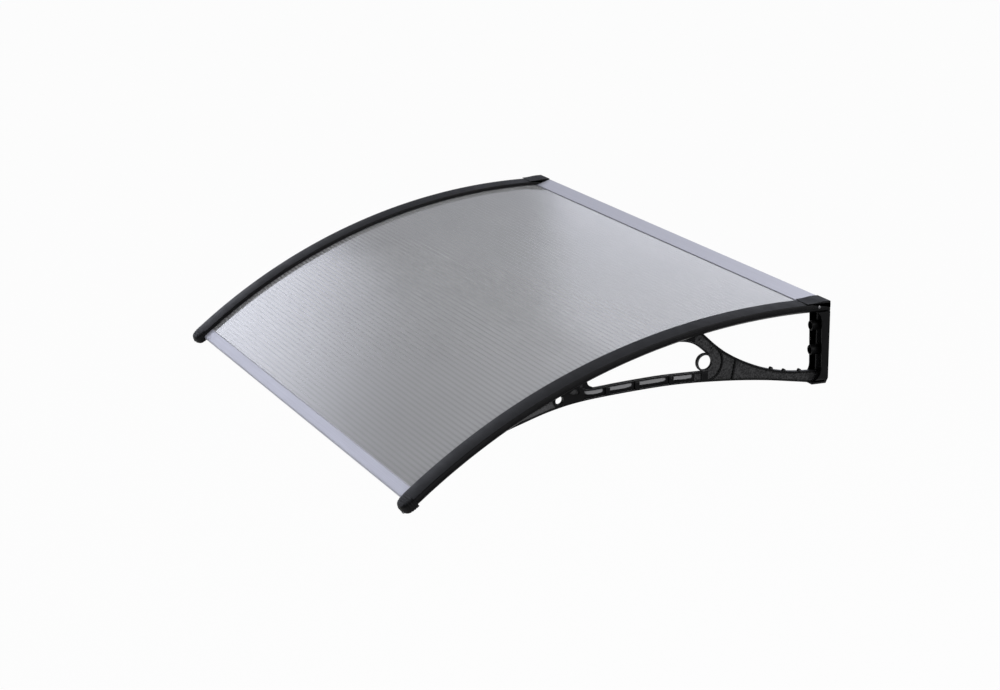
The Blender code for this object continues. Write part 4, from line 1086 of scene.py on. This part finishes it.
class CANOPY_OT_brackets(bpy.types.Operator):
    """Build the two moulded brackets: arched seat, wall post, and arm with its ribs and rings"""

    bl_idname = "canopy.brackets"
    bl_label = "Brackets"

    LIP_STEP = 0.0005
    LIP_WIDTH = 0.0040
    LIP_FOOT = 0.0105
    LIP_SLOPE = 0.0070
    SEAT_RIB_WIDTH = 0.0040
    RIB = 0.0028
    RING_WIDTH = 0.0066
    RING_SIDE_ARC = (6, 175)
    SCROLL_RADIUS = 0.0313
    SCROLL_ARC = (36, 170)
    STRUT_TOP = 0.2365
    UNDER_TOP = 0.3030
    BODY_START = 0.4508
    BODY_END = 0.4970
    WEB_END = 0.5850
    ARM_END = 0.6400
    STRUT_RIB = (0.1775, 0.1705)
    RING_FOOT_START = 0.2341
    RING_FOOT_WIDTH = 0.0120
    CROSS_RIB_WIDTH = 0.0080
    NUB_RADIUS = 0.0028
    BACK_PLATE = 0.0040
    POST_FLANGE = 0.0025
    POST_RIB_REACH = 0.0130
    POST_FLARE = (0.0220, 0.0158, 0.0080)
    FOOT_FLARE = 0.0200
    FOOT_THICKNESS = 0.0035
    FOOT_REACH = 0.0275
    FOOT_CORNER = 0.0080
    BOSS_RADIUS = 0.0088
    BOSS_REACH = 0.0255
    BOSS_ROOM_RADIUS = 0.0064
    BOLT_HOLE_RADIUS = 0.0035
    BOLT_HOLE_LENGTH = 0.0070
    TONGUE = (0.0120, 0.0290, 0.0020, 0.0170)
    SCREW_BLOCK = (0.0040, 0.0055, 0.0010, 0.0090)
    POCKET_EDGE = 0.0025
    DIMPLE_RADIUS = 0.0024
    DIMPLE_DEPTH = 0.0018

    def execute(self, context):
        material = bracket_plastic(context.scene.canopy_colours, context.scene.canopy_sizes)
        self.sizes = context.scene.canopy_sizes
        self.arch = Arch(self.sizes)
        for side, label in SIDES:
            base = self.seat(side, label)
            combine(base, self.arm(side) + self.post(side) + self.tongue(side), "UNION")
            combine(base, self.cutters(side), "DIFFERENCE")
            finish_piece(base, material, ["bracket_" + label])
        return {"FINISHED"}

    def x(self, side, inset):
        """X of an inset, as a plain number."""
        return float(self.arch.rail_x(side, inset))

    def seat(self, side, label):
        """A plate under the sheet's edge with a lip outside it and a rib under its middle."""
        arch = self.arch
        width = self.sizes.rail_width
        step = self.LIP_STEP
        lip = step + self.LIP_WIDTH
        top = COVER_OUTER_LIP + self.sizes.clearance
        rib = (width - self.SEAT_RIB_WIDTH) / 2, (width + self.SEAT_RIB_WIDTH) / 2
        rib_bottom = arch.seat_bottom + SEAT_RIB_HEIGHT
        corners = [
            (step, top),
            (step, self.LIP_FOOT),
            (step + self.LIP_SLOPE, arch.seat_bottom),
            (rib[0], arch.seat_bottom),
            (rib[0], rib_bottom),
            (rib[1], rib_bottom),
            (rib[1], arch.seat_bottom),
            (width, arch.seat_bottom),
            (width, arch.seat_top),
            (lip, arch.seat_top),
            (lip, top),
        ]
        start = float(arch.angle(0.0, top))
        section = filleted(corners, self.sizes.rounding, 3)
        return along_arch("moulded_bracket_" + label, arch, section, side, start, arch.end)

    def arm(self, side):
        """Panels between flanges that follow smooth curves, with cross ribs, rings and nubs."""
        arch = self.arch
        sizes = self.sizes
        flange_thickness = sizes.arm_flange
        half = flange_thickness / 2
        centre = sizes.rail_width / 2
        flange = (centre - sizes.arm_width / 2, centre + sizes.arm_width / 2)
        web = (centre - sizes.arm_web / 2, centre + sizes.arm_web / 2)
        ring_insets = (centre - self.RING_WIDTH / 2, centre + self.RING_WIDTH / 2)
        end = (self.ARM_END, arch.height(self.ARM_END, arch.seat_bottom + SEAT_RIB_HEIGHT / 2))
        lower = smooth_line(np.vstack((arch.dropped(ARM_LOWER_DROPS), end)), 10)
        upper = smooth_line(arch.dropped(ARM_UPPER_DROPS), 10)
        strut = smooth_line(np.vstack((arch.in_seat(self.STRUT_TOP), arch.dropped(STRUT_DROPS))), 10)
        under_top = (self.UNDER_TOP, arch.height(self.UNDER_TOP, arch.seat_bottom + half))
        under = smooth_line(np.vstack((under_top, arch.dropped(STRUT_UNDER_DROPS))), 10)
        ring = (RING[0], arch.drop(RING[1]))
        small_ring = (SMALL_RING[0], arch.drop(SMALL_RING[1]))
        solids = []

        def panel(outline, insets, rounding=0.0):
            """An outline filled between two insets."""
            solids.append(plate("solid", outline, self.x(side, insets[0]), self.x(side, insets[1]), rounding))

        up = np.array((0.0, half))
        rear_lower = lower[lower[:, 0] < RING[0]]
        ring_side = arc_line(ring, RING_HOLE + RING_WALL / 2, *self.RING_SIDE_ARC, 24)
        below_ring = (RING[0], on_line(lower, RING[0]) + half)
        panel(np.vstack((strut - up, rear_lower + up, below_ring, ring_side[::-1], under[::-1] + up)), web)
        start, stop = RING[0] - self.RIB, self.BODY_START + self.RIB
        above = upper[upper[:, 0] < stop]
        between = lower[(lower[:, 0] > start) & (lower[:, 0] < stop)]
        corners = [(stop, on_line(upper, stop) - half), (stop, on_line(lower, stop) + half)]
        rear_corner = (start, on_line(lower, start) + half)
        panel(np.vstack((above - up, corners, between[::-1] + up, rear_corner)), web)
        distances = np.linspace(self.BODY_START, self.WEB_END, 40)
        top = np.stack((distances, arch.height(distances, arch.seat_bottom + SEAT_RIB_HEIGHT / 2)), axis=1)
        bottom = np.stack((distances, on_line(lower, distances) + half), axis=1)
        panel(np.vstack((top, bottom[::-1])), web)
        window_end = smooth_line(arch.dropped(WINDOW_END_DROPS), 5)
        corner = ARM_UPPER_DROPS[-3]
        level = arch.drop(corner[1] + half)
        window = [arch.in_seat(ARM_UPPER_DROPS[-1][0]), arch.in_seat(window_end[0, 0])]
        panel(np.vstack((window, window_end, (window_end[-1, 0], level), (corner[0], level))), web)
        end_distance = ARM_UPPER_DROPS[-1][0]
        body_top = upper[(upper[:, 0] > self.BODY_START) & (upper[:, 0] < end_distance - self.RIB)] - up
        body_low = lower[(lower[:, 0] > self.BODY_START) & (lower[:, 0] < self.BODY_END)][::-1] + up
        panel(
            np.vstack(
                (
                    body_top,
                    arch.in_seat(end_distance),
                    arch.in_seat(self.BODY_END),
                    (self.BODY_END, on_line(lower, self.BODY_END) + half),
                    body_low,
                    (self.BODY_START, on_line(lower, self.BODY_START) + half),
                    (self.BODY_START, on_line(upper, self.BODY_START) - half),
                )
            ),
            flange,
            sizes.rounding,
        )
        for line, offset in ((lower, 1), (upper, -1), (strut, 1), (under, -1)):
            panel(strip(line, offset * flange_thickness), flange, sizes.rounding)
        scroll = arc_line(ring, self.SCROLL_RADIUS, *self.SCROLL_ARC, 36)
        panel(strip(scroll, -self.RIB), flange, sizes.rounding)
        ring_foot = (self.RING_FOOT_START, self.RING_FOOT_START, upper, self.RING_FOOT_WIDTH)
        ribs = [(*self.STRUT_RIB, strut, self.RIB), ring_foot]
        ribs += [(front, front, upper, self.CROSS_RIB_WIDTH) for front in CROSS_RIB_FRONTS]
        for low, high, line, thickness in ribs:
            ends = np.array(
                [(low, on_line(lower, low) + half), (high, on_line(line, high) - flange_thickness)]
            )
            panel(strip(ends, thickness), flange, sizes.rounding)
        for place, radius, insets in (
            (ring, RING_HOLE + RING_WALL, ring_insets),
            (small_ring, SMALL_RING_HOLE + SMALL_RING_WALL, flange),
        ):
            ends = [(self.x(side, inset), -place[0], place[1]) for inset in insets]
            solids.append(rod("solid", *ends, radius, rounding=sizes.rounding))
        for distance, value in NUBS:
            ends = [(self.x(side, inset), -distance, arch.drop(value)) for inset in ring_insets]
            solids.append(rod("solid", *ends, self.NUB_RADIUS, 24, sizes.rounding))
        bays = (RING_FOOT_END,) + CROSS_RIB_FRONTS + (PAD_LAST,)
        for start, stop in zip(bays, bays[1:]):
            for face, outwards in ((web[0], -1), (web[1], 1)):
                solids.append(self.pad(side, upper, start + PAD_GAP, stop - PAD_END_GAP, face, outwards))
        return solids

    def pad(self, side, upper, start, stop, face, outwards):
        """A long pad between two cross ribs: its face slopes outwards as it goes down, then turns in."""
        distances = np.linspace(start, stop, 9)
        taper = np.array((0.0, 0.7) + (1.0,) * 5 + (0.7, 0.0))[:, None]
        below, out = np.array(PAD_SECTION).T
        inset = face + outwards * np.where(out > 0, out * taper, out)
        height = on_line(upper, distances)[:, None] - below
        x = self.arch.rail_x(side, inset)
        return carried("solid", np.stack(np.broadcast_arrays(x, -distances[:, None], height), axis=-1))

    def post(self, side):
        """A channel on the wall with a foot, a middle rib, two bolt bosses and a lip up to the wall cap."""
        arch = self.arch
        sizes = self.sizes
        width = sizes.rail_width
        top = arch.in_seat(0.0)[1]
        foot = arch.drop(sizes.post_height)
        foot_top = foot + self.FOOT_THICKNESS
        foot_reach = self.FOOT_REACH
        reach = self.BACK_PLATE
        back = [(0, foot), (0, top), (reach, top), (reach, foot)]
        flare_top, flare, flare_drop = self.POST_FLARE
        flange = filleted(
            [
                (0, foot),
                (0, top),
                arch.in_seat(flare_top),
                (flare, top - flare_drop),
                (self.POST_RIB_REACH, foot + self.FOOT_FLARE),
                (foot_reach, foot_top),
                (foot_reach, foot),
            ],
            [0.0002, 0.0002, 0.0002, 0.006, 0.012, 0.0008, 0.0015],
            6,
        )
        foot_outline = [(0, foot), (0, foot_top), (foot_reach, foot_top), (foot_reach, foot)]
        rib = [(0, foot), (0, top), (self.POST_RIB_REACH, top), (self.POST_RIB_REACH, foot)]
        lip_top = arch.height(0, COVER_OUTER_LIP + sizes.clearance)
        lip_foot = top - self.BACK_PLATE / 2
        lip = [(0, lip_foot), (0, lip_top), (reach, lip_top), (reach, lip_foot)]
        thickness = self.POST_FLANGE
        middle = width / 2
        solids = []
        for outline, inset_from, inset_to in (
            (back, 0, width),
            (flange, 0, thickness),
            (flange, width - thickness, width),
            (filleted(foot_outline, sizes.rounding), 0, width),
            (rib, middle - thickness / 2, middle + thickness / 2),
            (lip, self.LIP_STEP + 0.0001, self.LIP_STEP + 0.0037),
        ):
            x_range = self.x(side, inset_from), self.x(side, inset_to)
            solids.append(plate("solid", outline, *x_range, sizes.rounding / 2))
        x = self.x(side, middle)
        for boss in BOLT_DROPS:
            ends = [(x, -y, arch.drop(boss)) for y in (self.BACK_PLATE / 2, self.BOSS_REACH)]
            solids.append(rod("solid", *ends, self.BOSS_RADIUS, rounding=2 * sizes.rounding))
        return solids

    def tongue(self, side):
        """The tongue that runs into the front cap, with the block that the cap's screw bites in."""
        arch = self.arch
        top = arch.seat_top
        inset_from, inset_to, thickness, reach = self.TONGUE
        half, block_top, bite, block_start = self.SCREW_BLOCK
        tongue = box_section(inset_from, inset_to, top, top + thickness)
        block = box_section(CAP_SCREW_INSET - half, CAP_SCREW_INSET + half, block_top, top + bite)
        start = arch.end - 0.0030 / arch.radius
        end = arch.end + reach / arch.radius
        block_end = end - self.sizes.clearance / arch.radius
        return [
            along_arch("solid", arch, tongue, side, start, end, 4),
            along_arch("solid", arch, block, side, arch.end + block_start / arch.radius, block_end, 2),
        ]

    def cutters(self, side):
        """Bolt holes, screw holes, the rings' bores, the pockets, the dimples and the foot's cut corners."""
        arch = self.arch
        sizes = self.sizes
        gap = sizes.clearance
        width = sizes.rail_width
        centre = width / 2
        x = self.x(side, centre)
        cutters = []
        for boss in BOLT_DROPS:
            z = arch.drop(boss)
            hole = self.BOLT_HOLE_LENGTH
            cutters.append(rod("cutter", (x, gap, z), (x, -hole - gap, z), self.BOLT_HOLE_RADIUS))
            room_end = (x, -self.BOSS_REACH - gap, z)
            cutters.append(rod("cutter", (x, -hole, z), room_end, self.BOSS_ROOM_RADIUS))
        screw_x = self.x(side, SCREW_RIB_INSET)
        shank_radius, head_radius, head = CLAMP_SCREW
        depths = arch.seat_bottom + gap, arch.seat_bottom - head - gap, arch.seat_top - gap
        for distance in CLAMP_DISTANCES:
            angle = float(arch.angle(distance, arch.seat_top))
            below, shelf, above = (arch.points(screw_x, depth, angle) for depth in depths)
            cutters.append(rod("cutter", below, above, shank_radius + gap, 24))
            cutters.append(rod("cutter", below, shelf, head_radius + gap, 24))
        for (distance, value), radius in ((RING, RING_HOLE), (SMALL_RING, SMALL_RING_HOLE)):
            ends = [(self.x(side, inset), -distance, arch.drop(value)) for inset in (0, width)]
            cutters.append(rod("cutter", *ends, radius))
        web = centre - sizes.arm_web / 2, centre + sizes.arm_web / 2
        pocket = filleted(arch.dropped(POCKET_DROPS), self.POCKET_EDGE)
        cutters.append(plate("cutter", pocket, self.x(side, 0), self.x(side, web[0])))
        cutters.append(plate("cutter", pocket, self.x(side, web[1]), self.x(side, width)))
        for distance, value in DIMPLES:
            z = arch.drop(value)
            ends = [(self.x(side, web[0] + run), -distance, z) for run in (-gap, self.DIMPLE_DEPTH)]
            cutters.append(rod("cutter", *ends, self.DIMPLE_RADIUS, BORE_SIDES))
        face, out = front_cap_screw_line(arch, side)
        bore_end = face - out * (CAP_SCREW_SHANK + gap)
        cutters.append(rod("cutter", bore_end, face, CAP_SCREW[0] + gap, BORE_SIDES))
        foot = arch.drop(sizes.post_height)
        corner = self.FOOT_CORNER
        for inset, inwards in ((0, 1), (width, -1)):
            triangle = [
                (self.x(side, inset - inwards * gap), foot - gap),
                (self.x(side, inset + inwards * corner), foot - gap),
                (self.x(side, inset - inwards * gap), foot + corner * 1.5),
            ]
            grid = np.array([[(px, y, pz) for px, pz in triangle] for y in (gap, -self.FOOT_REACH - gap)])
            cutters.append(carried("cutter", grid))
        return cutters


# End caps


class CANOPY_OT_caps(bpy.types.Operator):
    """Build the round front caps with their grip grooves and the ramped caps at the wall"""

    bl_idname = "canopy.caps"
    bl_label = "End caps"

    WALL = 0.0022
    SQUARENESS = 0.45
    GROOVES = (0.0060, 0.0105, 0.0150)
    GROOVE_DEPTH = 0.0006
    GROOVE_WIDTH = 0.0018
    LEAST_WIDTH = 0.01
    LEAST_HEIGHT = 0.3

    def execute(self, context):
        sizes = context.scene.canopy_sizes
        material = cover_plastic(context.scene.canopy_colours)
        arch = Arch(sizes)
        for side, label in SIDES:
            finish_piece(self.front(arch, side, label), material, ["front_cap_" + label])
            finish_piece(self.wall(arch, side, label), material, ["wall_cap_" + label])
        return {"FINISHED"}

    def rings(self, arch, side, run, inside):
        """Superellipses: their width shrinks as sqrt(1 - t squared), their height as sqrt(1 - t^6)."""
        run = np.asarray(run, float)[:, None]
        inside = np.asarray(inside, float)[:, None]
        width = arch.sizes.rail_width
        top = -RAIL_CROWN - CAP_PROUD
        beyond = np.maximum(run - CAP_STRAIGHT, 0) / (CAP_NOSE - inside)
        narrowing = np.sqrt(np.maximum(1 - beyond**2, self.LEAST_WIDTH))
        lowering = np.sqrt(np.maximum(1 - beyond**6, self.LEAST_HEIGHT))
        half_width = (width / 2 + CAP_PROUD - inside) * narrowing
        half_height = ((CAP_UNDER - top) / 2 - inside) * lowering
        turn = np.linspace(0, 2 * math.pi, 80, endpoint=False)[None, :]
        across = np.sign(np.cos(turn)) * np.abs(np.cos(turn)) ** self.SQUARENESS
        out = np.sign(np.sin(turn)) * np.abs(np.sin(turn)) ** self.SQUARENESS
        x = arch.rail_x(side, width / 2 + half_width * across)
        angle = arch.end + (arch.sizes.clearance + run) / arch.radius
        return arch.points(x, (CAP_UNDER + top) / 2 - half_height * out, angle)

    def front(self, arch, side, label):
        """A hollow nose: its runs follow a quarter sine, and each groove is a parabola in its depth."""
        sizes = arch.sizes
        gap = sizes.clearance
        nose_runs = CAP_STRAIGHT + CAP_NOSE * np.sin(np.linspace(0, math.pi / 2, 60))[1:]
        runs = np.concatenate((np.linspace(0, CAP_STRAIGHT, 6), nose_runs))
        grooves = sum(
            np.clip(1 - (np.abs(runs - run) / (self.GROOVE_WIDTH / 2)) ** 2, 0, 1) for run in self.GROOVES
        )
        inner_runs = CAP_STRAIGHT + (CAP_NOSE - self.WALL) * np.sin(np.linspace(math.pi / 2, 0, 20))
        inner = self.rings(arch, side, np.append(inner_runs, 0.0), np.full(21, self.WALL))
        outer = self.rings(arch, side, runs, self.GROOVE_DEPTH * grooves)
        cap = carried("nose_cap_" + label, np.concatenate((inner, outer)))
        slit = box_section(
            sizes.rail_width / 2,
            sizes.rail_width + 2 * CAP_PROUD,
            sizes.sheet_depth - gap,
            sizes.sheet_depth + sizes.sheet_thickness + gap,
        )
        radius = arch.radius - sizes.sheet_depth
        nose = float(arch.angle(FRONT_PROFILE_START, sizes.sheet_depth)) + FRONT_PROFILE_LENGTH / radius
        slit_end = nose - PROFILE_WALL / radius
        face, out = front_cap_screw_line(arch, side)
        cutters = [
            along_arch("cutter", arch, slit, side, arch.end - gap, slit_end, 4),
            rod("cutter", face - out * 2 * self.WALL, face + out * self.WALL, CAP_SCREW[0] + gap, BORE_SIDES),
        ]
        return combine(cap, cutters, "DIFFERENCE")

    def wall(self, arch, side, label):
        """A ramped block over the rail's wall end, with a cheek down its outer side."""
        sizes = arch.sizes
        gap = sizes.clearance
        cover_top = -RAIL_CROWN - gap
        back_bottom = float(arch.height(0, COVER_OUTER_LIP))
        top = arch.drop(-WALL_CAP_RISE)
        under = np.linspace(WALL_CAP_LENGTH, WALL_CAP_BACK, 12)
        block = filleted(
            [
                (0, back_bottom),
                (0, top),
                (WALL_CAP_TOP, top),
                (CHEEK_LENGTH, arch.height(CHEEK_LENGTH, cover_top - 2 * WALL_CAP_TIP)),
                (WALL_CAP_LENGTH, arch.height(WALL_CAP_LENGTH, cover_top - WALL_CAP_TIP)),
            ]
            + list(zip(under, arch.height(under, cover_top)))
            + [(WALL_CAP_BACK, back_bottom)],
            [0.0002, 0.0014, 0.0050, 0.0040, 0.0004] + [0.0001] * 13,
            5,
        )
        cheek_top = cover_top - WALL_CAP_TIP / 2
        cheek = [
            (0, back_bottom),
            (0, arch.height(0, cheek_top)),
            (CHEEK_LENGTH, arch.height(CHEEK_LENGTH, cheek_top)),
            (CHEEK_LENGTH, arch.height(CHEEK_LENGTH, COVER_OUTER_LIP)),
            (CHEEK_LENGTH / 2, arch.height(CHEEK_LENGTH / 2, COVER_OUTER_LIP)),
        ]
        x = [float(arch.rail_x(side, inset)) for inset in (0, sizes.rail_width, gap / 2, CHEEK)]
        base = plate("ramp_cap_" + label, block, x[0], x[1], sizes.rounding)
        combine(base, [plate("solid", cheek, x[2], x[3])], "UNION")
        point, out = wall_cap_screw_line(arch, side)
        bore = rod("cutter", point - out * 2 * CHEEK, point + out * gap, CAP_SCREW[0] + gap, BORE_SIDES)
        return combine(base, [bore], "DIFFERENCE")


# Studio


class CANOPY_OT_studio(bpy.types.Operator):
    """Build the pale floor, the soft lights, the white surroundings and the camera"""

    bl_idname = "canopy.studio"
    bl_label = "Studio"

    CAMERA_PLACE = (4.1647, -2.1352, 1.0394)
    CAMERA_BEARING = 66.820
    CAMERA_DROP = 14.985
    FAR_CLIP = 200.0
    FLOOR_SIZE = 80.0
    FLOOR_GREY = (0.50, 0.50, 0.50, 1.0)
    FLOOR_GLOW = 0.97
    AIM = (0.0, -0.4, -0.05)
    LIGHT_DISTANCE = 4.0
    KEY_LIGHT = (20, 80, (3.0, 3.0))
    NEAR_LIGHT = (160, 28, (2.6, 1.8))
    WHITE = (1.0, 1.0, 1.0, 1.0)
    SURROUNDINGS = (0.86, 0.885, 1.0, 1.0)
    NEAR_TO_FAR = (-0.6, 0.8)
    DARK_SIDE = 0.05
    PALE_SIDE = 0.30
    REAR_GLOW = 0.84
    REAR_TURN = (0.30, 0.70)
    REAR_EDGE = (-0.8765, -0.8685)
    REAR_LEAN = 0.05
    REAR_LIFT = (0.13, 0.23)
    REAR_LEAST = 0.4
    FRONT_GLOW = 3.4
    FRONT_EDGE = (0.902, 0.940)
    FRONT_LEAN = 0.043
    FRONT_END = (0.03, 0.16)

    def execute(self, context):
        settings = context.scene.canopy_studio
        self.floor(settings)
        self.world(context)
        self.light("overhead softbox", *self.KEY_LIGHT, settings.key_power)
        self.light("near side softbox", *self.NEAR_LIGHT, settings.near_power)
        self.camera(context, settings)
        return {"FINISHED"}

    def floor(self, settings):
        """A flat floor: pale for the lights, and white for rays from the camera, metal and the sheet."""
        half = self.FLOOR_SIZE / 2
        corners = np.array([(-half, -half), (half, -half), (half, half), (-half, half)])
        corners = np.column_stack((corners, np.full(4, -settings.floor_drop)))
        floor = mesh_object("studio_floor", corners, [[0, 1, 2, 3]])
        material, graph = material_graph("studio floor")
        seen = graph.seen("Is Camera Ray", "Is Transmission Ray", "Is Glossy Ray")
        diffuse = graph.add("ShaderNodeBsdfDiffuse", None, {"Color": self.FLOOR_GREY})
        glow = graph.add("ShaderNodeEmission", None, {"Color": self.WHITE, "Strength": 1.0})
        graph.mixed(seen * self.FLOOR_GLOW, diffuse, glow, "ShaderNodeOutputMaterial")
        floor.data.materials.append(material)

    def world(self, context):
        """White for rays from the camera and through the sheet; mirrored, a soft grey-blue room.

        far and rear are the parts of a ray's direction towards -X and +Y. The room rises from dark to
        pale with far. Past an edge at a steady far, two glows stand in it: one for rays that leave over
        the canopy's rear and one, brighter and further out, for rays that leave over its front.
        """
        world = bpy.data.worlds.new("white studio")
        world.use_nodes = True
        context.scene.world = world
        graph = Graph(world.node_tree)
        seen = graph.seen("Is Camera Ray", "Is Transmission Ray")
        x, rear, _ = graph.parts(graph.value("ShaderNodeTexCoord", output=0))
        far = -x
        rise = self.PALE_SIDE - self.DARK_SIDE
        room = graph.step(far, *self.NEAR_TO_FAR) * rise + self.DARK_SIDE
        rear_edge = graph.step(rear * self.REAR_LEAN - far, *self.REAR_EDGE)
        lift = graph.step(rear, *self.REAR_LIFT) * (1 - self.REAR_LEAST) + self.REAR_LEAST
        rear_glow = graph.step(far, *self.REAR_TURN) * rear_edge * lift * self.REAR_GLOW
        front_edge = graph.step(far - rear * self.FRONT_LEAN, *self.FRONT_EDGE)
        front_glow = front_edge * (1 - graph.step(rear, *self.FRONT_END)) * self.FRONT_GLOW
        strength = room + rear_glow + front_glow
        shade = graph.add("ShaderNodeBackground", None, {"Color": self.SURROUNDINGS, "Strength": strength})
        white = graph.add("ShaderNodeBackground", None, {"Color": self.WHITE, "Strength": 1.0})
        graph.mixed(seen, shade, white, "ShaderNodeOutputWorld")

    def light(self, name, bearing, rise, size, power):
        """A soft light at a bearing from -X towards +Y and a rise over the floor, turned to the canopy."""
        bearing, rise = math.radians(bearing), math.radians(rise)
        level = math.cos(rise)
        out = Vector((-math.cos(bearing) * level, math.sin(bearing) * level, math.sin(rise)))
        data = bpy.data.lights.new(name, "AREA")
        data.shape = "RECTANGLE"
        data.size, data.size_y = size
        data.energy = power
        item = bpy.data.objects.new(name, data)
        turn = (-out).to_track_quat("-Z", "Y").to_matrix().to_4x4()
        item.matrix_world = Matrix.Translation(Vector(self.AIM) + out * self.LIGHT_DISTANCE) @ turn
        item.visible_camera = False
        bpy.context.scene.collection.objects.link(item)

    def camera(self, context, settings):
        """The camera at the photo's angle, with the plain view transform."""
        data = bpy.data.cameras.new("photo angle")
        data.sensor_width = 36.0
        data.sensor_fit = "HORIZONTAL"
        data.lens = settings.lens
        data.clip_end = self.FAR_CLIP
        item = bpy.data.objects.new("photo angle", data)
        item.location = self.CAMERA_PLACE
        item.rotation_euler = (math.radians(90 - self.CAMERA_DROP), 0, math.radians(self.CAMERA_BEARING))
        context.scene.collection.objects.link(item)
        context.scene.camera = item
        context.scene.view_settings.view_transform = "Standard"


class CANOPY_PT_panel(bpy.types.Panel):
    """Lists the builders in the order in which they run"""

    bl_idname = "CANOPY_PT_panel"
    bl_label = "Door canopy"
    bl_space_type = "VIEW_3D"
    bl_region_type = "UI"
    bl_category = "Canopy"

    def draw(self, context):
        for group in ("canopy_sizes", "canopy_colours", "canopy_studio"):
            box = self.layout.box()
            values = getattr(context.scene, group)
            for name in values.__annotations__:
                box.prop(values, name)
        for builder in BUILDERS:
            self.layout.operator(builder.bl_idname)


BUILDERS = (
    CANOPY_OT_studio,
    CANOPY_OT_sheet,
    CANOPY_OT_profiles,
    CANOPY_OT_rails,
    CANOPY_OT_brackets,
    CANOPY_OT_caps,
    CANOPY_OT_screws,
)
CLASSES = (CanopySizes, CanopyColours, StudioSettings) + BUILDERS + (CANOPY_PT_panel,)


def register():
    for item in CLASSES:
        bpy.utils.register_class(item)
    bpy.types.Scene.canopy_sizes = PointerProperty(type=CanopySizes)
    bpy.types.Scene.canopy_colours = PointerProperty(type=CanopyColours)
    bpy.types.Scene.canopy_studio = PointerProperty(type=StudioSettings)


def unregister():
    del bpy.types.Scene.canopy_studio
    del bpy.types.Scene.canopy_colours
    del bpy.types.Scene.canopy_sizes
    for item in reversed(CLASSES):
        bpy.utils.unregister_class(item)


def main():
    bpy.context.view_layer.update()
    register()
    bpy.ops.canopy.studio()
    bpy.ops.canopy.sheet()
    bpy.ops.canopy.profiles()
    bpy.ops.canopy.rails()
    bpy.ops.canopy.brackets()
    bpy.ops.canopy.caps()
    bpy.ops.canopy.screws()


if __name__ == "__main__":
    main()
